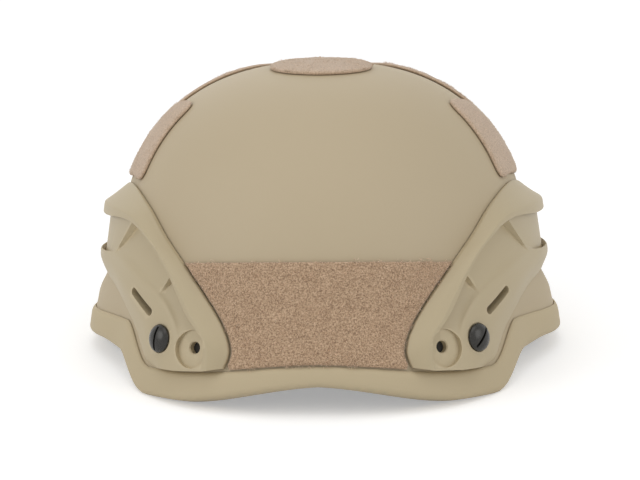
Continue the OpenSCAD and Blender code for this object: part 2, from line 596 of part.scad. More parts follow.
// Nape strap with its pad, straight across the middle so that the pad can slide
nape_a0 = over(162, 29.6, web_h);
nape_b0 = over(198, 29.6, web_h);
nape_n = [0, 1, 0];
module nape_strap() {
    l = along(tab_end(rear_bolt, 90, 10), [160, 29.6], web_h, web_h, 5);
    back = mirrored(l);
    color("#8f8262") seated() ribbon(concat(l, chord(nape_a0, nape_b0, nape_n, 0.02, 0.98, 4),
        [for (i = [len(back) - 1:-1:0]) back[i]]));
}
module nape_pad() {
    y = nape_a0[1];
    z = nape_a0[2];
    color("#4b4a44") seated() {
        rings([for (x = [27:-4.5:-27]) let (k = sqrt(max(0.1, 1 - pow(x / 29, 6))), w = 17 * k, d = 8 * k)
            [for (q = [[-1, 0], [-1, -0.35], [-0.7, -0.9], [0, -1], [0.7, -0.9], [1, -0.35], [1, 0]])
                [x, y - 2 + q[1] * d, z + q[0] * w]]]);
        for (s = [-1, 1]) difference() {
            translate([s * 15 - 3, y - 2.4, z - 12.5]) cube([6, 4.6, 25]);
            translate([s * 15 - 4, y - 1.1, z - 10.8]) cube([8, 2.2, 21.6]);
        }
    }
}

shell();
edge_trim();
rail_left();
rail_right();
rail_bolts();
bolt_nuts();
strap_tabs();
shroud();
shroud_screws();
shroud_nuts();
patch_crown();
patch_front_left();
patch_front_right();
patch_side_left();
patch_side_right();
patch_rear();
pad_front();
pad_rear();
pad_crown();
pads_side_left();
pads_side_right();
pad_discs();
side_strap_left();
side_strap_right();
sleeves();
buckle_strap();
chin_strap();
buckle_socket();
buckle_prongs();
strap_adjuster();
chin_cup();
nape_strap();
nape_pad();
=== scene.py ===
import math
import random
import bpy
import bmesh
from mathutils import Matrix, Vector
from mathutils.bvhtree import BVHTree
from mathutils.kdtree import KDTree


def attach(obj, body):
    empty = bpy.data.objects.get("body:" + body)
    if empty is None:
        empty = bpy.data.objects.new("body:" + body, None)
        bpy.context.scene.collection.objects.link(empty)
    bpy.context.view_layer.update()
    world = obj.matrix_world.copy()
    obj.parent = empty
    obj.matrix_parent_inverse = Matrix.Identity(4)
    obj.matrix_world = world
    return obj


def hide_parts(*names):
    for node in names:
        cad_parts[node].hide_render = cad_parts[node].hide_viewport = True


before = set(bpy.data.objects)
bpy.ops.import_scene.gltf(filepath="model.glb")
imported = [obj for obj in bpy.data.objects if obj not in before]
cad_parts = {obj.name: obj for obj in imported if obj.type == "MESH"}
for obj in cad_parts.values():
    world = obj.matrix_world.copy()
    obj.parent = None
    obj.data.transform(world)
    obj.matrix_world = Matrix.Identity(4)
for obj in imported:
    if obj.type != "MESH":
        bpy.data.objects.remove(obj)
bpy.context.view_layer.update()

mm = 0.001


# the wall of the helmet, in millimetres, worn level: 0 degrees is the front, 90 the wearer's left
wallForm = {
    "halfWidth": 109.0, "halfLength": 128.0, "waist": 53.5, "crown": 162.8, "thick": 8.0,
    "earBulge": 11.0, "flare": 9.0, "flareTop": 78, "brow": 44.0, "earDrop": 24.0, "napeDrop": 20.1,
    "napeRise": 10.3, "earShare": 0.15, "napeShare": 0.85, "band": 13, "bandRise": 0.58,
    "planPower": 2.1, "domePower": 2.4, "trim": 1.8, "gap": 0.3,
}
# where its lines turn, in degrees round the wall, and the heights over which the ear bulge ends
wallTurns = {
    "brow": (42, 72), "ear": (106, 124), "nape": (122, 138.5), "tail": (146, 182),
    "bandBrow": (44, 74), "bandNape": (125.3, 139.3), "bandTail": (146, 180),
    "bulgeFrom": (38, 72), "bulgeTo": (92, 122), "bulgeTop": (31, 68),
}


def mix(a, b, t):
    return a + (b - a) * t


def ease(a, b, x):
    t = max(0.0, min(1.0, (x - a) / (b - a)))
    return t * t * (3 - 2 * t)


def fold(a):
    return abs((a + 900) % 360 - 180)


def sinCos(t):  # of an angle in degrees
    return math.sin(math.radians(t)), math.cos(math.radians(t))


def bearing(p):  # degrees round the wall
    return math.degrees(math.atan2(p.x, -p.y))


def turns(n):  # a full turn in n even steps
    return [math.tau * i / n for i in range(n)]


def planRadius(a):
    f, r, power = wallForm, math.radians(a), wallForm["planPower"]
    s, c = abs(math.sin(r)) / f["halfWidth"], abs(math.cos(r)) / f["halfLength"]
    return (s ** power + c ** power) ** (-1 / power)


def rimHeight(a):
    f, w, g = wallForm, wallTurns, fold(a)
    drop = f["earShare"] * ease(*w["ear"], g) + f["napeShare"] * ease(*w["nape"], g)
    return (f["brow"] - f["earDrop"] * ease(*w["brow"], g) - f["napeDrop"] * drop
            + f["napeRise"] * ease(*w["tail"], g))


def bandHeight(a):
    f, w, g = wallForm, wallTurns, fold(a)
    return (f["brow"] + f["band"] - (f["earDrop"] - 0.4) * ease(*w["bandBrow"], g)
            - (f["napeDrop"] - 0.2) * ease(*w["bandNape"], g)
            + f["napeRise"] * f["bandRise"] * ease(*w["bandTail"], g))


def wallRadius(a, z):
    f, w, g, power = wallForm, wallTurns, fold(a), wallForm["domePower"]
    u = max(0.0, min(1.0, (z - f["waist"]) / (f["crown"] - f["waist"])))
    ear = ease(*w["bulgeFrom"], g) * (1 - ease(*w["bulgeTo"], g)) * (1 - ease(*w["bulgeTop"], z))
    t = max(0.0, min(1.2, (f["flareTop"] - z) / f["flareTop"]))
    return planRadius(a) * (1 - u ** power) ** (1 / power) + f["earBulge"] * ear + f["flare"] * t * t


def bare(a, z):
    r, (s, c) = wallRadius(a, z), sinCos(a)
    return Vector((r * s, -r * c, z))


def wallNormal(a, z):
    return (bare(a + 0.4, z) - bare(a - 0.4, z)).cross(bare(a, z) - bare(a, z - 0.4)).normalized()


def over(a, z, h):
    if z > wallForm["crown"] - 0.0002:
        return Vector((0, 0, wallForm["crown"] + h))
    return bare(a, z) + wallNormal(a, z) * h


def domeHeight(w):  # degrees up the dome from its waist to a height
    f = wallForm
    return f["waist"] + (f["crown"] - f["waist"]) * math.sin(math.radians(w)) ** (2 / f["domePower"])


def rhoHeight(p):  # degrees from the pole to a height
    return domeHeight(90 - p) if p < 90 else wallForm["waist"] - (p - 90) * 1.1


def polar(a, p):
    s, c = sinCos(a)
    return Vector((p * s, -p * c))


def onDome(q, h):
    return over(bearing(q), rhoHeight(q.length), h)


# the lean that stands the rim on the ears and the nape corners, and the shift to the middle
standSet = {
    "rimDepth": -2, "earFrom": 48, "rearPast": 40, "frontReach": 12.5, "frontTall": 60, "rearTall": 12,
}
rimLine = [over(a, rimHeight(a), standSet["rimDepth"]) for a in range(standSet["earFrom"], 181, 2)]


def dip(t, rear):
    s, c = sinCos(t)
    return min(p.z * c + p.y * s for p in rimLine if (p.y > standSet["rearPast"]) == rear)


low, high = 0.0, 20.0
for turn in range(14):
    half = (low + high) / 2
    low, high = (half, high) if dip(half, False) > dip(half, True) else (low, half)
lean = (low + high) / 2
sinLean, cosLean = sinCos(lean)
frontY = (-wallForm["halfLength"] - standSet["frontReach"]) * cosLean - standSet["frontTall"] * sinLean
rearY = max(over(a, rimHeight(a) + 4, 2).y for a in range(150, 181, 2))
shiftY = -(frontY + rearY * cosLean - standSet["rearTall"] * sinLean) / 2
lift = -dip(lean, True)
seating = Matrix.Translation((0, shiftY * mm, lift * mm)) @ Matrix.Rotation(math.radians(lean), 4, "X")
seating = seating @ Matrix.Scale(mm, 4)
print("lean", round(lean, 3), "lift", round(lift, 3), "shift", round(shiftY, 3))


# helpers for pieces
def asMesh(bm, name):
    mesh = bpy.data.meshes.new(name)
    bm.to_mesh(mesh)
    bm.free()
    return mesh


def pourInto(whole, bm):
    mesh = asMesh(bm, "poured")
    whole.from_mesh(mesh)
    bpy.data.meshes.remove(mesh)


def newObject(name, data):
    obj = bpy.data.objects.new(name, data)
    bpy.context.scene.collection.objects.link(obj)
    return obj


def flatSheet(cols, rows):  # a sheet of cols by rows faces over the unit square
    bm = bmesh.new()
    bmesh.ops.create_grid(bm, x_segments=cols, y_segments=rows, size=0.5)
    bmesh.ops.translate(bm, verts=bm.verts, vec=(0.5, 0.5, 0))
    return bm


def shapeSheet(bm, place):
    for v in bm.verts:
        v.co = place(v.co.x, v.co.y)


def closeUp(bm, near):  # doubles welded, open ends capped, faces turned outwards
    bmesh.ops.remove_doubles(bm, verts=bm.verts, dist=near)
    rims = [e for e in bm.edges if e.is_boundary]
    if rims:
        bmesh.ops.holes_fill(bm, edges=rims, sides=0)
    bmesh.ops.recalc_face_normals(bm, faces=bm.faces)


def sheet(cols, rows, place, near):  # a closed form, with each point where place puts it
    bm = flatSheet(cols, rows)
    shapeSheet(bm, place)
    closeUp(bm, near)
    return bm


def rod(bm, sides, low, high, foot, head=None):  # a round bar up the Z axis, and its points
    head = foot if head is None else head
    made = bmesh.ops.create_cone(bm, cap_ends=True, segments=sides, radius1=foot, radius2=head,
                                 depth=high - low)["verts"]
    bmesh.ops.translate(bm, verts=made, vec=(0, 0, (low + high) / 2))
    return made


def axes(x, y, z, spot):  # a frame from its three axes and its place
    m = Matrix((x, y, z)).transposed().to_4x4()
    m.translation = spot
    return m


def wallFrame(a, z, h=0.0):  # X along the wall, Y up it, Z straight out
    n = wallNormal(a, z)
    y = (Vector((0, 0, 1)) - n * n.z).normalized()
    return axes(y.cross(n), y, n, over(a, z, h))


def addPiece(name, bm, material, body="helmet", smooth=35, replaces=(), level=True):
    bm.normal_update()
    mesh = asMesh(bm, name)
    if level:
        mesh.transform(seating)
    obj = newObject(name, mesh)
    mesh.materials.append(material)
    for p in mesh.polygons:
        p.use_smooth = True
    mesh.set_sharp_from_angle(angle=math.radians(smooth))
    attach(obj, body)
    if replaces:
        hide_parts(*replaces)
    return obj


def mirrorSheet(bm):  # the wearer's right from the left
    bmesh.ops.scale(bm, verts=bm.verts, vec=(-1, 1, 1))
    bmesh.ops.reverse_faces(bm, faces=bm.faces)


def settle(obj):  # applies the modifiers for good
    graph = bpy.context.evaluated_depsgraph_get()
    mesh = bpy.data.meshes.new_from_object(obj.evaluated_get(graph))
    old = obj.data
    obj.modifiers.clear()
    obj.data = mesh
    bpy.data.meshes.remove(old)


def cutWith(obj, cutters):
    for c in cutters:
        m = obj.modifiers.new("cut", "BOOLEAN")
        m.operation, m.object, m.solver = "DIFFERENCE", c, "EXACT"
    settle(obj)
    for c in cutters:
        bpy.data.objects.remove(c)


def breakEdges(obj, width, segments, angle, keepSharp):
    b = obj.modifiers.new("softEdges", "BEVEL")
    b.width, b.segments, b.limit_method, b.angle_limit = width * mm, segments, "ANGLE", math.radians(angle)
    obj.modifiers.new("even", "WEIGHTED_NORMAL").keep_sharp = keepSharp
    settle(obj)


# helpers for shaders
def newMaterial(name, **values):
    mat = bpy.data.materials.new(name)
    mat.use_nodes = True
    shader = mat.node_tree.nodes["Principled BSDF"]
    for label, value in values.items():
        shader.inputs[label.replace("_", " ")].default_value = value
    return mat, mat.node_tree, shader


def addNode(tree, kind, inputs=(), **values):  # each input takes a link or a value
    n = tree.nodes.new(kind)
    for k, v in values.items():
        if hasattr(n, k):
            setattr(n, k, v)
        else:
            n.inputs[k.replace("_", " ")].default_value = v
    for target, source in inputs:
        if isinstance(source, bpy.types.NodeSocket):
            tree.links.new(source, n.inputs[target])
        else:
            n.inputs[target].default_value = source
    return n


def onObject(tree):  # the piece's own coordinates
    return tree.nodes.new("ShaderNodeTexCoord").outputs["Object"]


def maths(tree, operation, a, b):
    return addNode(tree, "ShaderNodeMath", [(0, a), (1, b)], operation=operation).outputs[0]


def blend(tree, share, first, second, kind="MIX"):
    inputs = [(0, share), (6, first), (7, second)]
    return addNode(tree, "ShaderNodeMix", inputs, data_type="RGBA", blend_type=kind).outputs[2]


def noise(tree, place, scale, detail, rough=0.5):
    inputs = [("Vector", place), ("Scale", scale)]
    return addNode(tree, "ShaderNodeTexNoise", inputs, Detail=detail, Roughness=rough).outputs["Fac"]


def cells(tree, place, scale):
    return addNode(tree, "ShaderNodeTexVoronoi", [("Vector", place)], Scale=scale).outputs["Distance"]


def ramp(tree, source, stops):  # the two ends first, then the stops between them
    n = addNode(tree, "ShaderNodeValToRGB", [("Fac", source)])
    for k, (spot, colour) in enumerate(stops):
        e = n.color_ramp.elements[k] if k < 2 else n.color_ramp.elements.new(spot)
        e.position, e.color = spot, colour + (1,)
    return n.outputs["Color"]


def coat(tree, shader, colour, height, strength, depth):  # colour and relief of a surface
    bump = addNode(tree, "ShaderNodeBump", [("Height", height)], Strength=strength, Distance=depth)
    tree.links.new(colour, shader.inputs["Base Color"])
    tree.links.new(bump.outputs[0], shader.inputs["Normal"])


# camera: a long lens behind the helmet, in the level frame of the wall
cameraSet = {
    "azimuth": 181.75, "elevation": 6.0, "distance": 1200.0, "across": -2.25, "height": 67.0, "roll": -0.5,
    "pixel": 0.5385, "sensor": 36, "imageWide": 640,
}


def placeCamera():
    c = cameraSet
    (s, k), (rise, run), (tilt, level) = (sinCos(c[way]) for way in ("azimuth", "elevation", "roll"))
    back = Vector((s * run, -k * run, rise))
    right = Vector((0, 0, 1)).cross(back).normalized()
    up = back.cross(right)
    spot = right * c["across"] + Vector((0, 0, c["height"])) + back * c["distance"]
    x, y = right * level + up * tilt, up * level - right * tilt
    turn = Matrix.Rotation(math.radians(lean), 3, "X") @ Matrix((x, y, back)).transposed()
    data = bpy.data.cameras.new("camera")
    data.sensor_width = c["sensor"]
    data.lens = c["distance"] / c["pixel"] * c["sensor"] / c["imageWide"]
    obj = newObject("camera", data)
    obj.matrix_world = Matrix.Translation(seating @ spot) @ turn.to_4x4()
    bpy.context.scene.camera = obj


placeCamera()
print("camera placed")


# light and floor
studio = {"world": 0.52, "floor": 0.86, "lift": 0.35, "aim": 0.07, "floorHalf": 4}
lamps = {  # place, size, power
    "key": ((-1.5, 0.9, 0.9), 1.3, 6.9), "fill": ((1.5, 0.9, 0.9), 1.3, 9.0),
    "top": ((0, 0.5, 1.8), 1.6, 6.2), "front": ((0.3, -1.6, 1.2), 1.8, 5.0),
}
white = (1, 1, 1, 1)


def areaLight(name, spot, size, power):
    data = bpy.data.lights.new(name, "AREA")
    data.shape, data.size, data.energy = "DISK", size, power
    aim = Vector(spot) - Vector((0, 0, studio["aim"]))
    turn = aim.to_track_quat("Z", "Y").to_matrix().to_4x4()
    newObject(name, data).matrix_world = Matrix.Translation(spot) @ turn


def seenDirectly(tree):  # 1 for camera, mirror and glass rays
    path = tree.nodes.new("ShaderNodeLightPath").outputs
    last = path["Is Camera Ray"]
    for ray in ("Is Glossy Ray", "Is Transmission Ray"):
        last = maths(tree, "MAXIMUM", last, path[ray])
    return last


def buildWorld():  # soft light all round, and a white background
    world = bpy.data.worlds.new("studio")
    bpy.context.scene.world = world
    world.use_nodes = True
    tree = world.node_tree
    tree.nodes.clear()
    soft = addNode(tree, "ShaderNodeBackground", Strength=studio["world"], Color=white).outputs[0]
    plain = addNode(tree, "ShaderNodeBackground", Strength=1.0, Color=white).outputs[0]
    both = addNode(tree, "ShaderNodeMixShader", [(0, seenDirectly(tree)), (1, soft), (2, plain)])
    addNode(tree, "ShaderNodeOutputWorld", [("Surface", both.outputs[0])])


def buildFloor():
    bm = bmesh.new()
    bmesh.ops.create_grid(bm, x_segments=1, y_segments=1, size=studio["floorHalf"])
    floor = newObject("floor", asMesh(bm, "floor"))
    mat, tree, shader = newMaterial("floor", Base_Color=(studio["floor"],) * 3 + (1,), Roughness=0.9,
                                    Specular_IOR_Level=0.0, Emission_Color=white)
    lit = maths(tree, "MULTIPLY", seenDirectly(tree), studio["lift"])  # up to white, and leaves the shadow
    tree.links.new(lit, shader.inputs["Emission Strength"])
    floor.data.materials.append(mat)


bpy.context.scene.view_settings.view_transform = "Standard"
buildWorld()
for name, lamp in lamps.items():
    areaLight(name, *lamp)
buildFloor()
print("studio built")


# shader groups shared by the materials
def newGroup(name, inputs, outputs):
    group = bpy.data.node_groups.new(name, "ShaderNodeTree")
    for label, value in inputs:
        socket = group.interface.new_socket(name=label, in_out="INPUT", socket_type="NodeSocketFloat")
        socket.default_value = value
    for label in outputs:
        group.interface.new_socket(name=label, in_out="OUTPUT", socket_type="NodeSocketFloat")
    return group, group.nodes.new("NodeGroupInput").outputs, group.nodes.new("NodeGroupOutput").inputs


def grainGroup():  # fine paint or mould grain, and broad clouds in it
    g, given, result = newGroup("grain", [("Scale", 900.0), ("Cloud", 18.0)], ["Fine", "Broad"])
    place = onObject(g)
    g.links.new(noise(g, place, given["Scale"], 3.0, 0.6), result["Fine"])
    g.links.new(noise(g, place, given["Cloud"], 4.0, 0.55), result["Broad"])
    return g


def wearGroup():  # light on worn edges
    g, given, result = newGroup("wear", [("Grip", 0.5), ("Break", 260.0)], ["Edge"])
    place = onObject(g)
    bend = g.nodes.new("ShaderNodeNewGeometry").outputs["Pointiness"]
    edge = addNode(g, "ShaderNodeMapRange", [("Value", bend)], From_Min=0.51, From_Max=0.58).outputs[0]
    broken = maths(g, "MULTIPLY", edge, noise(g, place, given["Break"], 5.0))
    g.links.new(maths(g, "MULTIPLY", broken, given["Grip"]), result["Edge"])
    return g


grain, wear = grainGroup(), wearGroup()
hardSet = {"fleck": 0.35, "wornLight": 1.25, "roughSpread": 0.08, "depth": 0.0004}


def hardMaterial(name, colour, dark, light, rough, scale, cloud, bump, metal=0.0, grip=0.5):
    c = hardSet
    mat, tree, shader = newMaterial(name, Metallic=metal)
    g = addNode(tree, "ShaderNodeGroup", node_tree=grain, Scale=scale, Cloud=cloud).outputs
    worn = addNode(tree, "ShaderNodeGroup", node_tree=wear, Grip=grip).outputs["Edge"]
    tone = blend(tree, g["Broad"], dark + (1,), colour + (1,))
    tone = blend(tree, maths(tree, "MULTIPLY", g["Fine"], c["fleck"]), tone, light + (1,))
    tone = blend(tree, worn, tone, tuple(min(1, k * c["wornLight"]) for k in light) + (1,))
    coat(tree, shader, tone, g["Fine"], bump, c["depth"])
    r = addNode(tree, "ShaderNodeMapRange", [("Value", g["Fine"])],
                To_Min=rough - c["roughSpread"], To_Max=rough + c["roughSpread"])
    tree.links.new(r.outputs[0], shader.inputs["Roughness"])
    return mat


def pileMaterial(name, colour, dark, light, scale, strength):  # brushed loop tape
    mat, tree, shader = newMaterial(name, Roughness=0.95, Specular_IOR_Level=0.1,
                                    Sheen_Weight=0.25, Sheen_Roughness=0.6)
    place = onObject(tree)
    big, fine = noise(tree, place, scale, 2.5, 0.65), noise(tree, place, scale * 3.1, 3.0, 0.7)
    tone = ramp(tree, big, ((0.36, dark), (0.66, light), (0.5, colour)))
    speck = addNode(tree, "ShaderNodeMapRange", [("Value", fine)], From_Min=0.3, From_Max=0.7,
                    To_Min=0.78, To_Max=1.12)
    high = maths(tree, "ADD", big, cells(tree, place, scale * 1.3))
    coat(tree, shader, blend(tree, 1.0, tone, speck.outputs[0], "MULTIPLY"), high, strength, 0.0008)
    return mat


def knitMaterial(name, colour, light, scale, strength):  # knit or woven cloth on object space
    mat, tree, shader = newMaterial(name, Roughness=0.9, Sheen_Weight=0.2)
    place = onObject(tree)
    cell = cells(tree, place, scale)
    share = maths(tree, "MULTIPLY", cell, noise(tree, place, 60.0, 4.0))
    coat(tree, shader, blend(tree, share, colour + (1,), light + (1,)), cell, strength, 0.0005)
    return mat


def webMaterial(name, colour, dark, light):  # webbing: rows of weave along the piece's own map
    mat, tree, shader = newMaterial(name, Roughness=0.8, Sheen_Weight=0.15)
    uv = addNode(tree, "ShaderNodeUVMap", uv_map="UVMap").outputs["UV"]
    waves = []
    for way, scale, bend in (("X", 2.2, 0.6), ("Y", 1.1, 0.3)):
        waves.append(addNode(tree, "ShaderNodeTexWave", [("Vector", uv)], wave_type="BANDS",
                             bands_direction=way, Scale=scale, Distortion=bend).outputs["Fac"])
    both = maths(tree, "MULTIPLY", *waves)
    coat(tree, shader, ramp(tree, both, ((0, dark), (1, light), (0.4, colour))), both, 0.7, 0.0004)
    return mat


hardFinish = {  # material, colour, dark, light, then roughness, grain, clouds, relief, metal, grip
    "shell": ("shellPaint", (0.485, 0.397, 0.263), (0.462, 0.378, 0.248), (0.52, 0.43, 0.296),
              0.62, 1500, 9, 0.18),
    "trim": ("rimTrim", (0.5, 0.41, 0.262), (0.473, 0.388, 0.246), (0.53, 0.44, 0.285),
             0.66, 1300, 14, 0.15),
    "rail": ("railNylon", (0.468, 0.385, 0.244), (0.443, 0.364, 0.23), (0.503, 0.417, 0.269),
             0.5, 1700, 20, 0.14),
    "bolt": ("boltBlack", (0.023, 0.021, 0.018), (0.015, 0.014, 0.012), (0.05, 0.047, 0.041),
             0.27, 900, 60, 0.1, 0.35, 0.6),
    # painted shade: a near-black finish for the far ends of the rail's bore and slot, where no light falls
    "hollow": ("hollowShade", (0.02, 0.017, 0.013), (0.012, 0.01, 0.008), (0.035, 0.03, 0.024),
               0.85, 900, 40, 0.1),
    "steel": ("zincSteel", (0.5, 0.5, 0.49), (0.42, 0.42, 0.41), (0.62, 0.62, 0.6),
              0.34, 1200, 80, 0.08, 1.0),
    "tab": ("tabBlack", (0.05, 0.05, 0.052), (0.035, 0.035, 0.037), (0.09, 0.09, 0.09),
            0.45, 1200, 60, 0.1, 0.5, 0.9),
    "mount": ("mountPaint", (0.40, 0.335, 0.21), (0.37, 0.31, 0.195), (0.46, 0.39, 0.25),
              0.48, 1500, 30, 0.12, 0.0, 0.9),
    "moulding": ("acetalBlack", (0.028, 0.028, 0.026), (0.02, 0.02, 0.019), (0.05, 0.05, 0.047),
                 0.42, 1500, 50, 0.12),
}
pileFinish = {  # material, colour, dark, light, scale, relief
    # the tapes are coloured darker than their fibres: painted shade in the gaps between the fibres, strongest
    # on the rear tape
    "pile": ("loopPile", (0.52, 0.35, 0.22), (0.3, 0.19, 0.113), (0.7, 0.5, 0.335), 1300, 0.6),
    "pileTop": ("loopPileSmooth", (0.6, 0.448, 0.32), (0.47, 0.342, 0.235), (0.7, 0.54, 0.4), 1300, 0.4),
    "pileFuzz": ("loopFibre", (0.82, 0.6, 0.42), (0.5, 0.345, 0.225), (1.0, 0.8, 0.6), 560, 0.1),
    "pileTopFuzz": ("loopFibreSmooth", (0.7, 0.54, 0.4), (0.53, 0.395, 0.28), (0.84, 0.665, 0.51), 560, 0.1),
}
knitFinish = {  # material, colour, light, scale, relief
    "hook": ("hookTape", (0.02, 0.02, 0.018), (0.06, 0.06, 0.055), 1400, 1.0),
    "cloth": ("padCloth", (0.075, 0.07, 0.058), (0.16, 0.15, 0.125), 900, 0.6),
    "cup": ("cupCloth", (0.2, 0.165, 0.1), (0.3, 0.25, 0.16), 1100, 0.5),
    "welt": ("weltTape", (0.04, 0.038, 0.032), (0.09, 0.085, 0.07), 1500, 0.4),
    "thread": ("sewingThread", (0.33, 0.28, 0.18), (0.45, 0.39, 0.27), 2600, 0.3),
}
finish = {"web": webMaterial("webbing", (0.30, 0.245, 0.155), (0.17, 0.135, 0.08), (0.38, 0.315, 0.2))}
for make, table in ((hardMaterial, hardFinish), (pileMaterial, pileFinish), (knitMaterial, knitFinish)):
    finish.update({kind: make(*values) for kind, values in table.items()})
print("finishes made")


# shell: an outer skin over the wall, thickened inwards, pressed in one piece
shellSet = {
    "round": 200, "tall": 56, "evenShare": 0.45, "evenTop": 96.0, "evenTopTurn": 20.5,
    "earSwell": 1.8, "swellRound": (80, 98, 116, 132), "swellTall": (35, 45, 50, 63),
}


def levelHeight(a, s):  # share of the way from edge to crown, to a height
    c = shellSet
    if s <= c["evenShare"]:
        return mix(rimHeight(a) + wallForm["trim"] + 0.2, c["evenTop"], s / c["evenShare"])
    return domeHeight(mix(c["evenTopTurn"], 90.0, (s - c["evenShare"]) / (1 - c["evenShare"])))


def earSwell(a, z):  # the ear part is pressed a little rounder than the wall
    (a0, a1, a2, a3), (z0, z1, z2, z3) = shellSet["swellRound"], shellSet["swellTall"]
    g = fold(a)
    around = ease(a0, a1, g) * (1 - ease(a2, a3, g))
    return shellSet["earSwell"] * around * ease(z0, z1, z) * (1 - ease(z2, z3, z))


def buildShell():
    skins = []
    for h in (0.0, -wallForm["thick"]):
        bm = flatSheet(shellSet["round"], shellSet["tall"])
        def place(x, y):
            a, z = x * 360, levelHeight(x * 360, y)
            return over(a, z, h + (earSwell(a, z) if h == 0 else 0))
        shapeSheet(bm, place)
        bmesh.ops.remove_doubles(bm, verts=bm.verts, dist=0.01)
        skins.append(bm)
    outer, inner = skins
    pourInto(outer, inner)
    bmesh.ops.bridge_loops(outer, edges=[e for e in outer.edges if e.is_boundary])
    bmesh.ops.recalc_face_normals(outer, faces=outer.faces)
    addPiece("shellWall", outer, finish["shell"], smooth=50, replaces=["shell"])


buildShell()
print("shell pressed")


# edge trim: a rounded U pushed over the whole rim
trimSet = {"round": 220, "out": 2.0, "inner": 9.0, "rimDrop": (120.3, 137.0), "bandDrop": (123.7, 137.7)}


def squarer(a, was, now, drop):  # how much lower the line runs where it turns down to the nape sooner
    return drop * (ease(*now, fold(a)) - ease(*was, fold(a)))


def trimSection(a):
    f, w, o = wallForm, wallTurns, trimSet["out"]
    z = rimHeight(a) - squarer(a, w["nape"], trimSet["rimDrop"], f["napeDrop"] * f["napeShare"])
    top = bandHeight(a) - squarer(a, w["bandNape"], trimSet["bandDrop"], f["napeDrop"] - 0.2)
    g, shelf = f["gap"], -f["thick"] - f["gap"]
    inside = -f["thick"] - f["trim"] - g
    i = z + trimSet["inner"]
    upper = [(g, top - 0.1), (g + 0.35, top), (o * 0.5, top - 0.35), (o * 0.74, top - 1.0),
             (o * 0.9, top - 2.0), (o, top - 3.6)]
    lower = [(o, z + 5), (o, z + 3.0), (o - 0.25, z + 1.8), (o - 0.9, z + 0.8), (o - 1.9, z + 0.2)]
    return upper + lower + [
        (o - 3.2, z), (inside + 2.6, z), (inside + 1.3, z + 0.25), (inside + 0.4, z + 0.9), (inside, z + 2.2),
        (inside, i - 0.9), (inside + 0.3, i - 0.25), (inside + 0.9, i), (shelf - 0.3, i), (shelf, i - 0.3),
        (shelf, z + 1.9), (g, z + 1.9)]


def buildTrim():
    n = len(trimSection(0))
    def place(x, y):
        h, z = trimSection(x * 360)[round(y * n) % n]
        return over(x * 360, z, h)
    bm = sheet(trimSet["round"], n, place, 0.005)
    addPiece("rimTrim", bm, finish["trim"], smooth=50, replaces=["edge_trim"])


buildTrim()
print("trim fitted")


# side rail: four lines from temple to nape tip, and the heights of the section between them
railSet = {
    "lines": [
        [(40, 76), (40, 72), (40, 65), (40, 60.5)],
        [(44, 81), (44, 75), (44, 64), (44, 58.8)],
        [(56, 87.5), (56, 80.5), (56, 62), (56, 53.5)],
        [(66, 94), (65, 85.5), (65, 63), (65, 51.2)],
        [(90, 97.8), (90, 85.5), (90, 63.5), (90, 51)],
        [(114.4, 101.2), (111, 85.4), (106, 65), (101, 51.2)],
        [(131.4, 92.8), (129.7, 84.8), (118.4, 66.4), (113.6, 47.6)],
        [(143.2, 75.6), (140, 75.9), (130.8, 60.6), (124.1, 38.8)],
        [(151.6, 58.6), (146.4, 62.6), (141.8, 50.4), (131, 29.7)],
        [(158.4, 40.2), (151.9, 43), (147, 40), (134.4, 21.8)],
        [(161, 26.6), (156.1, 29.8), (149.2, 28.4), (136.8, 16.8)],
        [(160, 17.3), (156.4, 15.2), (149, 13.9), (141, 13.9)]],
    "rise": [  # upper edge, flange, lip, lip foot, floor, crease, low band, shoulder
        [2, 3, 3.6, 3.4, 3.4, 3.6, 3.4, 2.4],
        [2.6, 5.4, 6.2, 6, 5.4, 5.6, 6.2, 4.6],
        [2.2, 6.2, 7.6, 7.2, 6, 6.4, 6.6, 4.8],
        [1.1, 6.0, 10.2, 8.8, 6.6, 9, 8.4, 3.8],
        [1.1, 6.0, 10.8, 9.4, 6.8, 9.3, 8.8, 3.4],
        [1.2, 6.2, 10.6, 9.2, 6.8, 9, 8.5, 3.6],
        [2.4, 7, 9.4, 8.8, 6.4, 6.8, 7.3, 3.8],
        [2.6, 7, 9.2, 8.6, 5.2, 6.6, 7.4, 3.8],
        [2.6, 6.9, 9.2, 8.7, 4.7, 6.5, 7.4, 4],
        [2.5, 6.9, 9.1, 8.6, 4.7, 6.5, 7.4, 4.2],
        [2.6, 6.6, 8.6, 7.8, 6.6, 7, 7.4, 4.4],
        [2.6, 5.6, 7, 6.8, 6.6, 6.6, 6.6, 3.4]],
    "dove": [0, 0, 0.2, 1, 1, 1, 0.25, 0, 0, 0, 0, 0],
    "ribs": [6, 8], "ribDrop": 4.4, "ribSlope": 0.05, "undercut": 0.15, "hook": 0.06,
    "rounds": [0.1, 0.8, 5, 0.9, 0.3, 0.25, 0.4, 0.4, 0.5, 0.8, 5, 2.4, 0.8, 0.1, 0.1, 0.1, 0.1, 0.1],
    "softRounds": [0.1, 0.8, 5, 0.7, 0.35, 0.3, 0.5, 4, 6, 6, 7, 3, 0.8, 0.1, 0.1, 0.1, 0.1, 0.1],
    "frontBolt": (52, 63), "rearBolt": (144.2, 28.8), "boltHole": 2.7, "headHole": 7.3, "seats": (4.6, 6.4),
    "bore": (153.3, 26.3), "boreRadius": 3.0, "boreMouth": (3.9, 0.45), "floor": 0.9,
    "slot": [(132.8, 49.8), (140.1, 41.4)], "slotAt": (136.5, 45.5), "slotHalf": 2.1, "slotFloor": 1.8,
    "pocket": (153, 25.5), "pocketRadii": (9.4, 10), "pocketFlat": 8.2, "pocketUp": 12.2,
    "softFrom": (5.2, 6.4), "step": 0.05, "darkReach": 2.8,
}


def rowMix(rows, t):
    i = min(len(rows) - 2, int(t))
    return curveAny(rows[max(0, i - 1)], rows[i], rows[i + 1], rows[min(len(rows) - 1, i + 2)], t - i)


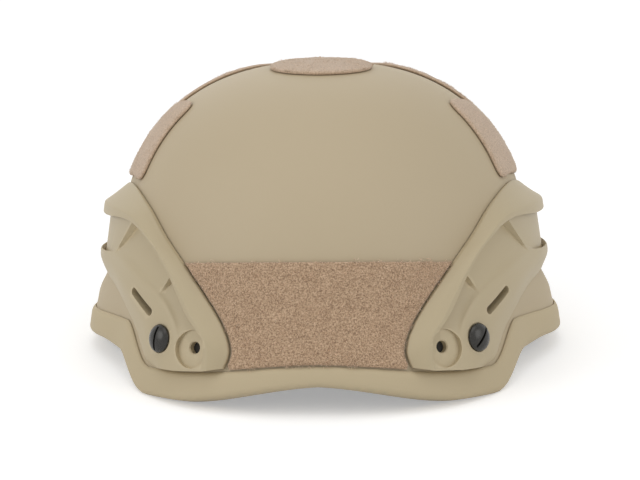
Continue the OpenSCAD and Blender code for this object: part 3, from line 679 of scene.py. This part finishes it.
def curveAny(p, a, b, q, f):  # a smooth curve through a and b
    if isinstance(a, (int, float)):
        even, bend = (b - p) * f, (2 * p - 5 * a + 4 * b - q) * f * f
        return 0.5 * (2 * a + even + bend + (3 * a - p - 3 * b + q) * f ** 3)
    return [curveAny(*s, f) for s in zip(p, a, b, q)]


def railSection(t, drop):
    r = railSet
    u, e, c, l = [Vector(p) for p in rowMix(r["lines"], t)]
    h = rowMix(r["rise"], t)
    dove = max(0, rowMix(r["dove"], t))
    k, hook = dove * r["undercut"], dove * r["hook"]
    w = ease(*r["softFrom"], t)  # past the channel the crease flows into the low band
    flange = [(u, 0.6), (u, h[0]), (u.lerp(e, 0.45), h[1]), (u.lerp(e, 0.8), h[2])]
    channel = [(e.lerp(c, 0.02 + hook), h[2] - 0.2), (e.lerp(c, 0.03 + hook), h[3] - 4 * hook),
               (e.lerp(c, 0.05 - k), h[4] - drop),
               (e.lerp(c, mix(0.98, 0.84, w) + k), h[4] - drop * mix(0.1, 0.16, w) - 0.2)]
    low = [(c, h[5]), (c.lerp(l, mix(0.08, 0.16, w)), h[5] + mix(0.5, 0.25, w)), (c.lerp(l, 0.5), h[6]),
           (c.lerp(l, 0.88), h[7]), (l, 1.5)]
    return flange + channel + low + [(l.lerp(u, s), 0.6) for s in (0, 0.2, 0.4, 0.6, 0.8)]


def roundLoop(pts, radii, steps=4):  # each corner of a closed loop becomes a short arc
    out = []
    n = len(pts)
    for i, p in enumerate(pts):
        a, b = pts[i - 1] - p, pts[(i + 1) % n] - p
        ra, rb = min(radii[i], a.length * 0.45), min(radii[i], b.length * 0.45)
        u, v = p + a.normalized() * ra, p + b.normalized() * rb
        out += [u.lerp(p, k / steps).lerp(p.lerp(v, k / steps), k / steps) for k in range(steps + 1)]
    return out


def railDrop(t):
    r = railSet
    near = [t - g for g in r["ribs"] if g < t < g + 2]
    return max([r["ribDrop"] * min(1, d / r["ribSlope"]) * (1 - d / 2) for d in near] + [0])


def railStations():
    r, out = railSet, []
    for i in range(int((len(r["lines"]) - 1) / r["step"]) + 1):
        t = i * r["step"]
        out.append(t)
        if any(abs(t - g) < 1e-6 for g in r["ribs"]):
            out.append(t + r["ribSlope"] * 0.4)
    return out


def slotCutter():
    r = railSet
    a, b = (over(*p, 0) for p in r["slot"])
    x = (b - a).normalized()
    y = wallNormal(*r["slotAt"]).cross(x).normalized()
    slot = bmesh.new()
    for v in rod(slot, 48, r["slotFloor"], r["slotFloor"] + 14, r["slotHalf"]):
        v.co.x += math.copysign((b - a).length / 2, v.co.x)
    slot.transform(axes(x, y, x.cross(y), (a + b) / 2))
    return slot


def pocketCutter():
    r = railSet
    pocket = bmesh.new()
    rod(pocket, 64, -8, 8, *r["pocketRadii"])
    every = pocket.verts[:] + pocket.edges[:] + pocket.faces[:]
    cut = bmesh.ops.bisect_plane(pocket, geom=every, plane_co=(r["pocketFlat"], 0, 0), plane_no=(1, 0, 0),
                                 clear_outer=True)["geom_cut"]
    bmesh.ops.contextual_create(pocket, geom=[g for g in cut if isinstance(g, bmesh.types.BMEdge)])
    bmesh.ops.translate(pocket, verts=pocket.verts, vec=(0, 0, r["pocketUp"]))
    pocket.transform(wallFrame(*r["pocket"]))
    return pocket


def railCutters(side):
    r = railSet
    def drill(spot, low, high, radius):
        bm = bmesh.new()
        rod(bm, 48, low, high, radius)
        bm.transform(wallFrame(*spot))
        return bm
    front, rear, bore, (frontSeat, rearSeat), (mouth, wider) = (
        r[k] for k in ("frontBolt", "rearBolt", "bore", "seats", "boreMouth"))
    made = [drill(front, -2, 18, r["boltHole"]), drill(rear, -2, 18, r["boltHole"]),
            drill(rear, rearSeat, 26, r["headHole"]), drill(front, frontSeat, 24, r["headHole"]),
            drill(bore, r["floor"], 18, r["boreRadius"]), drill(bore, mouth, 24, r["boreRadius"] + wider),
            pocketCutter(), slotCutter()]
    cuts = []
    for bm in made:
        if side < 0:
            mirrorSheet(bm)
        bmesh.ops.recalc_face_normals(bm, faces=bm.faces)
        mesh = asMesh(bm, "cutter")
        mesh.transform(seating)
        cuts.append(newObject("cutter", mesh))
    return cuts


def buildRail(side, name, node):
    r = railSet
    loops = []
    for t in railStations():
        corners = [over(p.x, p.y, h) for p, h in railSection(t, railDrop(t))]
        soft = ease(*r["softFrom"], t)
        loops.append(roundLoop(corners, [mix(a, b, soft) for a, b in zip(r["rounds"], r["softRounds"])]))
    n, last = len(loops[0]), len(loops) - 1
    bm = sheet(last, n, lambda x, y: loops[round(x * last)][round(y * n) % n], 0.002)
    if side < 0:
        mirrorSheet(bm)
    obj = addPiece(name, bm, finish["rail"], replaces=[node])
    cutWith(obj, railCutters(side))
    for e in obj.data.edges:
        e.use_edge_sharp = False
    breakEdges(obj, 0.3, 2, 38, keepSharp=True)
    # the second finish is painted shade for the floors of the bore and the slot
    obj.data.materials.clear()
    for kind in ("rail", "hollow"):
        obj.data.materials.append(finish[kind])
    paintFloorShade(obj, side)


def paintFloorShade(obj, side):  # painted shade: the far ends of the bore and the slot take the near-black finish, where no light falls
    r, back = railSet, seating.inverted()
    a, b = (over(*p, r["slotFloor"]) for p in r["slot"])
    spots = [(over(*r["bore"], r["floor"]), wallNormal(*r["bore"]))]
    spots += [(a.lerp(b, i / 8), wallNormal(*r["slotAt"])) for i in range(9)]
    for f in obj.data.polygons:
        c, n = back @ f.center, (back.to_3x3() @ f.normal).normalized()
        c.x, n.x = c.x * side, n.x * side
        if any((c - q).length < r["darkReach"] and n.dot(k) > 0.8 for q, k in spots):
            f.material_index = 1


buildRail(1, "railLeft", "rail_left")
buildRail(-1, "railRight", "rail_right")
print("rails moulded")


# loop patches: tape cut to shape, laid on the wall
tapeSet = {
    "thick": 2.1, "gap": 0.3, "rings": 14, "crownRadius": 26.6, "crownBack": 27.2,
    "edge": [(0.93, 0.99), (0.96, 0.93), (0.98, 0.82), (0.992, 0.66), (1.0, 0.42)],  # share out, height
}
tuftSet = {"fibres": 30, "reach": 2.6, "long": 1.5, "thin": 0.12, "lean": 1.25, "perMm": 1.35}



def densify(pts, d):
    out = []
    for i, p in enumerate(pts):
        q = pts[(i + 1) % len(pts)]
        n = max(1, round((q - p).length / d))
        out += [p.lerp(q, k / n) for k in range(n)]
    return out


def layTape(name, outline, centre, place, node, material):
    c, n = tapeSet, len(outline)
    base, rings = c["gap"], c["rings"]
    shares = [s / rings * 0.9 for s in range(rings)]
    profile = [(s, base + c["thick"]) for s in shares] + [(s, base + h * c["thick"]) for s, h in c["edge"]]
    profile += [(0.994, base + 0.3), (0.975, base)] + [(s, base) for s in reversed(shares)]
    rows = len(profile) - 1
    def at(x, y):
        s, h = profile[round(y * rows)]
        return place(centre.lerp(outline[round(x * n) % n], s), h)
    addPiece(name, sheet(n, rows, at, 0.004), material, smooth=60, replaces=[node])


def domeSpot(x, y):  # the point of the dome over a true place in plan
    a = math.degrees(math.atan2(x, -y))
    share = (math.hypot(x, y) / planRadius(a)) ** (wallForm["domePower"] / 2)
    return polar(a, 90 - math.degrees(math.acos(share)))


def crownRing(r, n, back=0.0):
    return [domeSpot(r * math.sin(t), back - r * math.cos(t)) for t in turns(n)]


def flipOutline(pts):
    return [Vector((-p.x, p.y)) for p in reversed(pts)]


def flatPlace(q, h):
    return over(q.x, q.y, h)


frontOut = [polar(*p) for p in ((20, 17), (74, 17), (88, 44), (66, 68), (42, 72), (19, 66), (17, 44))]
frontOut = densify(roundLoop(frontOut, [5] * len(frontOut), 4), 2)
sideOut = [polar(*p) for p in ((96, 41.5), (125, 38.6), (122, 67.4), (101, 67.2), (79, 66.9))]
sideOut = densify(roundLoop(sideOut, [4.8] * len(sideOut), 8), 2)
# the rear patch follows the rails at its sides and the trim below
railEdge = [rowMix(railSet["lines"], mix(7.5, 10.75, i / 20))[0] for i in range(21)]
rearSide = [Vector(p) + Vector((0.5, 0)) for p in railEdge]
rearAcross = [mix(rearSide[0].x, 360 - rearSide[0].x, i / 30) for i in range(1, 30)]
rearTop = [Vector((a, 69.8 - 2.2 * ((a - 180) / 28) ** 2)) for a in rearAcross]
rearLow = [Vector((a, bandHeight(a) + 0.8)) for a in [mix(198.8, 161.2, i / 24) for i in range(25)]]
rearOut = rearTop + [Vector((360 - p.x, p.y)) for p in rearSide] + rearLow + rearSide[::-1]


def makeTuft(rng):  # a few short fibres that lean every way
    c = tuftSet
    bm = bmesh.new()
    for k in range(c["fibres"]):
        tall = c["long"] * rng.uniform(0.6, 1.15)
        fibre = rod(bm, 3, 0, tall, c["thin"], c["thin"] * 0.5)
        tilt = Matrix.Rotation(rng.uniform(0.2, c["lean"]), 3, "X")
        tilt = tilt @ Matrix.Rotation(rng.uniform(0, math.tau), 3, "Z")
        tilt = Matrix.Rotation(rng.uniform(0, math.tau), 3, "Z") @ tilt
        bmesh.ops.rotate(bm, verts=fibre, cent=(0, 0, 0), matrix=tilt)
        r, t = c["reach"] * math.sqrt(rng.random()), rng.uniform(0, math.tau)
        bmesh.ops.translate(bm, verts=fibre, vec=(r * math.cos(t), r * math.sin(t), 0))
    return asMesh(bm, "tuft")


def brushPile(name, outline, centre, place, material, dense, inner, root):  # fibres raised from the tape
    c, rng = tuftSet, random.Random(len(outline) * 7 + len(name))
    tufts = [makeTuft(rng) for k in range(5)]
    fans = list(zip(outline, outline[1:] + outline[:1]))
    laid, hub = [place(q, 0) for q in outline], place(centre, 0)
    shares = [(a - hub).cross(b - hub).length / 2 for a, b in zip(laid, laid[1:] + laid[:1])]
    count = int(sum(shares) * c["perMm"] * dense / c["fibres"])
    whole = bmesh.new()
    for (a, b), near in zip(rng.choices(fans, shares, k=count), rng.choices(tufts, k=count)):
        q = centre.lerp(a.lerp(b, rng.random()), math.sqrt(rng.random()) * inner)
        spot, top = place(q, root), place(q, root + 1)
        n = (top - spot).normalized()
        x = n.orthogonal().normalized()
        turn = Matrix.Rotation(rng.uniform(0, math.tau), 4, "Z")
        mesh = near.copy()
        mesh.transform(axes(x, n.cross(x), n, spot) @ turn)
        whole.from_mesh(mesh)
        bpy.data.meshes.remove(mesh)
    for mesh in tufts:
        bpy.data.meshes.remove(mesh)
    print(name, len(whole.faces), "faces")
    addPiece(name, whole, material, smooth=180)


def patch(name, node, outline, centre, place, kind, dense, inner, root):
    layTape(name, outline, centre, place, node, finish[kind])
    brushPile(name + "Pile", outline, centre, place, finish[kind + "Fuzz"], dense, inner, root)


crownAt = domeSpot(0, tapeSet["crownBack"])
crownOut = crownRing(tapeSet["crownRadius"], 96, tapeSet["crownBack"])
patch("patchCrown", "patch_crown", crownOut, crownAt, onDome, "pileTop", 1.0, 0.94, 1.5)
for part, edge, (a, p), inner, root in (
        ("Front", frontOut, (50, 45), 0.96, 1.6), ("Side", sideOut, (106, 53), 0.93, 1.35)):
    for hand, outline, centre in (("Left", edge, polar(a, p)), ("Right", flipOutline(edge), polar(-a, p))):
        node = f"patch_{part}_{hand}".lower()
        patch("patch" + part + hand, node, outline, centre, onDome, "pileTop", 0.8, inner, root)
patch("patchRear", "patch_rear", rearOut, Vector((180, 46)), flatPlace, "pile", 1.0, 0.985, 1.75)
print("patches laid")


# bolts: domed, slotted, black
boltSet = {
    "radius": 7.0, "tall": 3.87, "slot": 1.3, "slotDeep": 1.9, "shank": 2.5, "past": 14,
    "places": (("rearBolt", 6.8), ("frontBolt", 5.0)), "slotTurns": ((1, 84), (-1, -48)),
}


def boltHead():
    c, r = boltSet, boltSet["radius"]
    profile = [(0, 0), (r - 0.3, 0), (r, 0.35), (r, 0.8), (r * 0.975, 1.25), (r * 0.92, 1.75), (r * 0.8, 2.5),
               (r * 0.62, 3.15), (r * 0.4, 3.6), (r * 0.2, 3.8), (0, c["tall"])]
    bm = bmesh.new()
    chain = [bm.verts.new((x, 0, z)) for x, z in profile]
    for a, b in zip(chain, chain[1:]):
        bm.edges.new((a, b))
    bmesh.ops.spin(bm, geom=bm.verts[:] + bm.edges[:], cent=(0, 0, 0), axis=(0, 0, 1), angle=math.tau,
                   steps=64, use_merge=True)
    closeUp(bm, 0.001)
    head = newObject("head", asMesh(bm, "head"))
    knife = bmesh.new()
    bmesh.ops.create_cube(knife, size=1)
    bmesh.ops.scale(knife, verts=knife.verts, vec=(2 * r + 2, c["slot"], 4))
    bmesh.ops.translate(knife, verts=knife.verts, vec=(0, 0, c["tall"] - c["slotDeep"] + 2))
    cutWith(head, [newObject("knife", asMesh(knife, "knife"))])
    piece = bmesh.new()
    piece.from_mesh(head.data)
    bpy.data.objects.remove(head)
    return piece


def buildBolts():
    c = boltSet
    whole = bmesh.new()
    for spot, seat in c["places"]:
        for side, turn in c["slotTurns"]:
            piece = boltHead()
            rod(piece, 32, 0.1 - seat - c["past"], 0.1, c["shank"])
            slotTurn = Matrix.Rotation(math.radians(turn), 3, "Z")
            bmesh.ops.rotate(piece, verts=piece.verts, cent=(0, 0, 0), matrix=slotTurn)
            piece.transform(wallFrame(*railSet[spot], seat))
            if side < 0:
                mirrorSheet(piece)
            pourInto(whole, piece)
    addPiece("boltHeads", whole, finish["bolt"], smooth=30, replaces=["rail_bolts"])


buildBolts()
print("bolts set")


# harness: webbing stowed round the inside of the rim, the buckle on the wearer's left
harnessSet = {
    "width": 20.0, "thick": 1.4, "deep": -11.1, "joint": (93, 46.1), "frontTurn": 72, "rearTurn": -86,
    "browHeight": 57.5, "tail": ((95.5, 45), (81.5, 42.2)), "chordFrom": (80, 41.8), "chordTo": (44, 57.6),
    "browFrom": (43, 57.7), "nape": (162, 29.6), "tabInside": 10,
    "pitch": 2.4, "box": (11.5, 22.5, 7.6),
}
webDeep = harnessSet["deep"]
sewnDeep, jointDeep = webDeep - 0.3, webDeep - 3.9
chinDeep = jointDeep - 3.4
perRadian = 57.3  # degrees
tapeRound = [(-1, 0), (-0.985, 0.6), (-0.95, 0.95), (-0.88, 1), (-0.44, 0.92)]
tapeRound += [(0, 0.9)] + [(-x, y) for x, y in reversed(tapeRound[1:])]
tapeRound += [(-x, -y) for x, y in tapeRound]


def sweep(path, section, closed=False):  # a section of (across, out) carried along a list of (point, normal)
    m, n = len(path), len(section)
    cols = m if closed else m - 1
    bm = flatSheet(cols, n)
    run = [0.0]
    for i in range(cols):
        run.append(run[-1] + (path[(i + 1) % m][0] - path[i][0]).length)
    frames = []
    for i, (p, normal) in enumerate(path):
        a = path[(i - 1) % m] if closed else path[max(0, i - 1)]
        b = path[(i + 1) % m] if closed else path[min(m - 1, i + 1)]
        d = (b[0] - a[0]).normalized()
        s = normal.cross(d).normalized()
        frames.append((p, s, d.cross(s).normalized()))
    uv = bm.loops.layers.uv.new("UVMap")  # in centimetres along and across the tape
    for f in bm.faces:
        for loop in f.loops:
            i, j = round(loop.vert.co.x * cols), round(loop.vert.co.y * n) % n
            loop[uv].uv = (run[i] / 10, section[j][0] / 10)
    def place(x, y):
        p, s, e = frames[round(x * cols) % m]
        q = section[round(y * n) % n]
        return p + s * q[0] + e * q[1]
    shapeSheet(bm, place)
    closeUp(bm, 0.003)
    return bm


def evenPath(path, step=2.0, passes=4):  # resampled and smoothed, with its ends kept
    out = [path[0]]
    for (p, n), (q, k) in zip(path, path[1:]):
        parts = max(1, round((q - p).length / step))
        out += [(p.lerp(q, i / parts), n.lerp(k, i / parts)) for i in range(1, parts + 1)]
    for turn in range(passes):
        inner = [((a[0] + 2 * b[0] + c[0]) / 4, (a[1] + 2 * b[1] + c[1]) / 4)
                 for a, b, c in zip(out, out[1:], out[2:])]
        out = [out[0]] + inner + [out[-1]]
    return out


def strap(name, path, node):
    w, t = harnessSet["width"] / 2, harnessSet["thick"] / 2
    bm = sweep(evenPath(path), [(x * w, y * t) for x, y in tapeRound])
    addPiece(name, bm, finish["web"], replaces=[node])


def along(a, b, h0, h1, n):
    out = []
    for i in range(n + 1):
        q, z = mix(a[0], b[0], i / n), mix(a[1], b[1], i / n)
        out.append((over(q, z, mix(h0, h1, i / n)), wallNormal(q, z)))
    return out


def straight(p, q, n, t0, t1, m):
    return [(p.lerp(q, mix(t0, t1, i / m)), n) for i in range(m + 1)]


def mirrored(path):
    return [(Vector((-p.x, p.y, p.z)), Vector((-n.x, n.y, n.z))) for p, n in path]


def tabEnd(spot, turn, d, w=0.0):  # a place on a tab, by how far along and across it lies
    r = wallRadius(*spot) - harnessSet["tabInside"]
    s, c = sinCos(turn)
    return (spot[0] + s * d / r * perRadian + c * w / r * perRadian, spot[1] - c * d + s * w)


def between(a, b, t):
    return (mix(a[0], b[0], t), mix(a[1], b[1], t))


def stitchLine(bm, a, b, n, pitch=harnessSet["pitch"]):  # a row of thread loops from a to b
    count = max(1, round((b - a).length / pitch))
    d = (b - a).normalized()
    s = n.cross(d).normalized()
    for k in range(count):
        made = bmesh.ops.create_icosphere(bm, subdivisions=1, radius=1.0)["verts"]
        m = axes(d * pitch * 0.4, s * 0.34, n * 0.3, a.lerp(b, (k + 0.5) / count))
        bmesh.ops.transform(bm, matrix=m, verts=made)


def boxStitch(bm, spot, turn, h):  # a sewn box and cross on a tape end
    near, far, wide = harnessSet["box"]
    corners = ((near, -wide), (far, -wide), (far, wide), (near, wide))
    c = [over(*tabEnd(spot, turn, d, w), h) for d, w in corners]
    n = -(c[1] - c[0]).cross(c[3] - c[0]).normalized()
    if n.dot(wallNormal(*spot)) > 0:
        n = -n
    for a, b in ((0, 1), (1, 2), (2, 3), (3, 0), (0, 2), (1, 3)):
        stitchLine(bm, c[a], c[b], n)


def buildHarness():
    s = harnessSet
    front, rear, joint = railSet["frontBolt"], railSet["rearBolt"], s["joint"]
    turn, back = s["frontTurn"], s["rearTurn"]
    frontEnd, rearEnd = tabEnd(front, turn, 24), tabEnd(rear, back, 24)
    side = along(tabEnd(front, turn, 10), frontEnd, sewnDeep, sewnDeep, 3)
    side += along(between(frontEnd, joint, 0.12), joint, sewnDeep, jointDeep, 12)
    side += along(between(joint, rearEnd, 0.1), rearEnd, jointDeep, sewnDeep, 12)
    side += along(tabEnd(rear, back, 20), tabEnd(rear, back, 10), sewnDeep, sewnDeep, 2)
    strap("sideStrapLeft", side, "side_strap_left")
    strap("sideStrapRight", mirrored(side), "side_strap_right")
    p, q = over(*s["chordFrom"], chinDeep), over(*s["chordTo"], chinDeep)
    n = (wallNormal(*s["chordFrom"]) + wallNormal(*s["chordTo"])).normalized()
    tail = along(*s["tail"], chinDeep, chinDeep, 6)
    strap("buckleStrap", tail + straight(p, q, n, 0.02, 0.3, 4), "buckle_strap")
    z = s["browHeight"]
    brow = along(s["browFrom"], (28, z), chinDeep, webDeep, 8) + along((24, z), (12, z), webDeep, webDeep, 4)
    left = straight(p, q, n, 0.46, 0.98, 6) + brow
    right = tail + straight(p, q, n, 0.02, 0.98, 12) + brow
    left += along((8, z), (-8, z), webDeep, webDeep, 5)
    strap("chinStrap", left + mirrored(right)[::-1], "chin_strap")
    a, z = s["nape"]
    ends = along(tabEnd(rear, 90, 10), (a - 2, z), webDeep, webDeep, 8)
    middle = straight(over(a, z, webDeep), over(360 - a, z, webDeep), Vector((0, 1, 0)), 0.02, 0.98, 10)
    strap("napeStrap", ends + middle + mirrored(ends)[::-1], "nape_strap")
    thread = bmesh.new()
    for spot, way, h in ((front, turn, sewnDeep), (rear, back, sewnDeep), (rear, 90, webDeep)):
        boxStitch(thread, spot, way, h - s["thick"] / 2 - 0.05)
    twin = thread.copy()
    mirrorSheet(twin)
    pourInto(thread, twin)
    addPiece("strapStitches", thread, finish["thread"])


buildHarness()
print("harness woven")


# pads: foam in a knit bag, swollen by a short cloth run, with a sewn ring and a welt
padSet = {
    "back": -9.95, "thick": 19.0, "voxel": 4.6, "swell": 2.4, "shrink": 0.955, "pressure": 4.0, "frames": 20,
    "ring": 0.78, "ringDeep": 0.86, "aimDeep": 2.4, "groove": 1.5, "grooveWide": 1.9, "grooveReach": 6,
    "stitchEvery": 3.2, "stitch": 2.2, "welt": 0.85, "weltOut": 1.04, "weltDeep": 0.34,
}
padProfile = [  # share of the way out, share of the thickness
    (0, 1), (0.12, 1), (0.25, 1), (0.4, 0.985), (0.55, 0.965), (0.68, 0.93), (0.79, 0.875), (0.87, 0.79),
    (0.93, 0.68), (0.975, 0.53), (1, 0.38), (0.995, 0.24), (0.97, 0.12), (0.93, 0.05), (0.86, 0.01), (0.7, 0),
    (0.5, 0), (0.3, 0), (0.12, 0), (0, 0)]


def wallSpot(p, rounds=4):  # the azimuth, height and depth of a point in the level frame
    a, z, h = bearing(p), p.z, 0.0
    for turn in range(rounds):
        z = min(z, wallForm["crown"] - 0.05)
        n = wallNormal(a, z)
        h = (p - bare(a, z)).dot(n)
        foot = p - n * h
        a, z = bearing(foot), foot.z
    return a, min(z, wallForm["crown"] - 0.05), h


def swell(obj, c):  # the bag swells under pressure, no point further than its cap
    m = obj.modifiers.new("even", "REMESH")
    m.mode, m.voxel_size = "VOXEL", c["voxel"] * mm
    settle(obj)
    rest = [v.co.copy() for v in obj.data.vertices]
    cloth = obj.modifiers.new("swell", "CLOTH")
    cloth.settings.use_pressure = True
    cloth.settings.uniform_pressure_force = c["pressure"]
    cloth.settings.quality = 4
    cloth.settings.effector_weights.gravity = 0
    cloth.point_cache.frame_start, cloth.point_cache.frame_end = 1, c["frames"]
    for frameNow in range(1, c["frames"] + 1):
        bpy.context.scene.frame_set(frameNow)
    graph = bpy.context.evaluated_depsgraph_get()
    done = obj.evaluated_get(graph).to_mesh()
    moved = [v.co.copy() for v in done.vertices]
    obj.evaluated_get(graph).to_mesh_clear()
    obj.modifiers.clear()
    for v, r, q in zip(obj.data.vertices, rest, moved):
        d = q - r
        v.co = r + d * min(1.0, c["swell"] * mm / max(d.length, 1e-9))
    bpy.context.scene.frame_set(1)


def finer(obj, levels):
    m = obj.modifiers.new("finer", "SUBSURF")
    m.levels = m.render_levels = levels
    settle(obj)


def tubeOn(points, radius, sides=8):  # a closed welt through the points
    path = []
    for i, p in enumerate(points):
        way = (points[(i + 1) % len(points)] - points[i - 1]).normalized()
        path.append((p, Vector((0, 0, 1)) if abs(way.z) < 0.8 else Vector((1, 0, 0))))
    return sweep(path, [(radius * math.cos(t), radius * math.sin(t)) for t in turns(sides)], closed=True)


def padShape(outline, at, c):
    n, rows = len(outline), len(padProfile) - 1
    def place(x, y):
        s, k = padProfile[round(y * rows)]
        return at(outline[round(x * n) % n], s * c["shrink"], k * c["thick"] * c["shrink"])
    return sheet(n, rows, place, 0.01)


def clampPad(obj, c):  # no point past the back or the face of the pad
    back = seating.inverted()
    for v in obj.data.vertices:
        p = back @ v.co
        a, z, h = wallSpot(p)
        v.co = seating @ (p + wallNormal(a, z) * (max(c["back"] - c["thick"] - 0.2, min(c["back"], h)) - h))


def seamOn(tree, outline, at, c):  # where the seam meets the face, and the way in
    face = []
    for q in densify(outline, 1.0):
        p = at(q, c["ring"], c["ringDeep"] * c["thick"])
        inward = at(q, c["ring"], c["aimDeep"] * c["thick"]) - p
        a, b = seating @ (p + inward), seating @ p
        hit = tree.ray_cast(a, (b - a).normalized())[0]
        if hit:
            face.append((hit, (a - b).normalized()))
    return face


def pressSeam(obj, face, c):
    near = KDTree(len(face))
    for i, (p, d) in enumerate(face):
        near.insert(p, i)
    near.balance()
    for v in obj.data.vertices:
        p, i, d = near.find(v.co)
        if d < c["grooveReach"] * mm:
            v.co -= face[i][1] * c["groove"] * mm * math.exp(-(d / (c["grooveWide"] * mm)) ** 2)
    obj.data.update()
    for p in obj.data.polygons:
        p.use_smooth = True


def seamStitches(face, c):
    back = seating.inverted()
    level = [(back @ p, back.to_3x3() @ d) for p, d in face]
    thread = bmesh.new()
    gone = 0.0
    for (p, d), (q, e) in zip(level, level[1:] + level[:1]):
        gone += (q - p).length
        if gone >= c["stitchEvery"] and (q - p).length < 6:
            gone = 0.0
            start = p - d.normalized() * (c["groove"] - 0.15)
            stitchLine(thread, start, start + (q - p).normalized() * c["stitch"], d.normalized(), c["stitch"])
    return thread


def weltOn(tree, outline, at, c):
    back, rim = seating.inverted(), []
    for q in densify(outline, 1.5):
        spot = at(q, c["weltOut"], c["weltDeep"] * c["thick"])
        p = back @ tree.find_nearest(seating @ spot)[0]
        if not rim or (p - rim[-1]).length > 1.2:
            rim.append(p)
    for turn in range(3):
        rim = [(rim[i - 1] + 2 * p + rim[(i + 1) % len(rim)]) / 4 for i, p in enumerate(rim)]
    return tubeOn(rim, c["welt"])


def sewPad(name, outline, centre, place, node, settings={}, material="cloth", body="helmet",
           clamp=True):
    c = dict(padSet, **settings)
    def at(q, share, depth):  # a share of the way out, and a depth from the back
        return place(centre.lerp(q, share), c["back"] - depth)
    bm = padShape(outline, at, c)
    obj = addPiece(name, bm, finish[material], body=body, smooth=180, replaces=[node])
    swell(obj, c)
    if clamp:
        clampPad(obj, c)
    finer(obj, 2)
    tree = BVHTree.FromPolygons([v.co for v in obj.data.vertices], [p.vertices for p in obj.data.polygons])
    face = seamOn(tree, outline, at, c)
    pressSeam(obj, face, c)
    addPiece(name + "Stitches", seamStitches(face, c), finish["thread"], body=body)
    welt = weltOn(tree, outline, at, c)
    addPiece(name + "Welt", welt, finish["welt"], body=body, smooth=180)


def flatOutline(pts, r):
    return densify(roundLoop([Vector(p) for p in pts], [r] * len(pts), 5), 2.0)


def middle(pts):
    return Vector([(min(p[k] for p in pts) + max(p[k] for p in pts)) / 2 for k in (0, 1)])


def strip(end, reach, tall, power, blunt, level=0.0):  # the outline of a strip with rounded ends
    return [Vector((x, level + side * tall * math.sqrt(max(blunt, 1 - (abs(x) / reach) ** power))))
            for side in (1, -1) for x in range(-end * side, end * side + side, 2 * side)]


frontPad = flatOutline([(-30, 79), (30, 79), (33, 100), (26, 112), (-26, 112), (-33, 100)], 5)
rearPad = flatOutline([(151, 52), (209, 52), (213, 74), (205, 94), (155, 94), (147, 74)], 6)
sidePads = [flatOutline([(49, 82), (82, 72), (86, 96), (80, 116), (50, 116)], 6),
            flatOutline([(95, 68), (124, 62), (134, 82), (128, 112), (95, 114)], 6)]
sewPad("padFront", frontPad, middle(frontPad), flatPlace, "pad_front")
sewPad("padRear", rearPad, middle(rearPad), flatPlace, "pad_rear")
sewPad("padCrown", crownRing(58, 120), Vector((0, 0)), onDome, "pad_crown")
for label, pts in zip(("Fore", "Aft"), sidePads):
    sewPad("padLeft" + label, pts, middle(pts), flatPlace, "pads_side_left")
    sewPad("padRight" + label, flipOutline(pts), middle(flipOutline(pts)), flatPlace, "pads_side_right")
print("pads sewn")

smallPad = {
    "voxel": 3.0, "swell": 1.0, "shrink": 0.96, "ring": 0.74, "groove": 0.7, "grooveWide": 1.2, "welt": 0.7,
    "pressure": 3.0,
}
browHeight = harnessSet["browHeight"]
sewPad("chinCup", strip(24, 27, 15, 4, 0.12, browHeight), Vector((0, browHeight)), flatPlace, "chin_cup",
       dict(smallPad, back=webDeep - 1.05, thick=6.3), material="cup")
napeSpot = over(*harnessSet["nape"], webDeep)


def napePlace(q, h):
    return Vector((q.x, napeSpot.y - 2 + h, napeSpot.z + q.y))


sewPad("napePad", strip(27, 29, 17, 6, 0.1), Vector((0, 0)), napePlace, "nape_pad",
       dict(smallPad, back=-0.1, thick=7.8), body="nape_cushion", clamp=False)
loopSet = {
    "places": (-15, 15), "steps": 72, "deep": 1.75, "tall": 11.9, "square": 0.35, "wide": 3, "thick": 0.5,
}


def buildNapeLoops():  # two loops that hold the nape pad on its strap
    s = loopSet
    whole = bmesh.new()
    def squared(v):
        return math.copysign(abs(v) ** s["square"], v)
    for x in s["places"]:
        path = []
        for t in turns(s["steps"]):
            y, z = s["deep"] * squared(math.cos(t)), s["tall"] * squared(math.sin(t))
            spot = Vector((x, napeSpot.y - 0.1, napeSpot.z)) + Vector((0, y, z))
            path.append((spot, Vector((0, math.cos(t) * 6, math.sin(t))).normalized()))
        pourInto(whole, sweep(path, [(a * s["wide"], b * s["thick"]) for a, b in tapeRound], closed=True))
    addPiece("napeLoops", whole, finish["web"], body="nape_cushion")


buildNapeLoops()
print("cup and nape pad sewn")


# moulded and metal pieces: the solid with its edges broken
hardware = [  # node, name, finish, slot, width of the broken edge, body
    ("bolt_nuts", "boltNuts", "steel", "nut_steel", 0.25, "helmet"),
    ("strap_tabs", "strapTabs", "tab", "tab_black", 0.3, "helmet"),
    ("shroud", "frontMount", "mount", "mount_metal", 0.5, "helmet"),
    ("shroud_screws", "mountScrews", "bolt", "bolt_black", 0.18, "helmet"),
    ("shroud_nuts", "mountNuts", "steel", "nut_steel", 0.2, "helmet"),
    ("sleeves", "sleeves", "moulding", "buckle_polymer", 0.35, "helmet"),
    ("buckle_socket", "buckleSocket", "moulding", "buckle_polymer", 0.5, "helmet"),
    ("buckle_prongs", "bucklePlug", "moulding", "buckle_polymer", 0.45, "buckle_half"),
    ("strap_adjuster", "strapAdjuster", "moulding", "buckle_polymer", 0.45, "adjuster"),
    ("pad_discs", "hookDiscs", "hook", "hook_tape", 0.12, "helmet"),
]
for node, name, kind, slot, width, body in hardware:
    bm = bmesh.new()
    bm.from_mesh(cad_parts[node].data)
    bmesh.ops.remove_doubles(bm, verts=bm.verts, dist=1e-6)
    bmesh.ops.dissolve_limit(bm, angle_limit=math.radians(1.5), verts=bm.verts, edges=bm.edges)
    obj = addPiece(name, bm, finish[kind], body=body, replaces=[node], level=False)
    breakEdges(obj, width, 3, 30, keepSharp=False)
print("hardware finished")
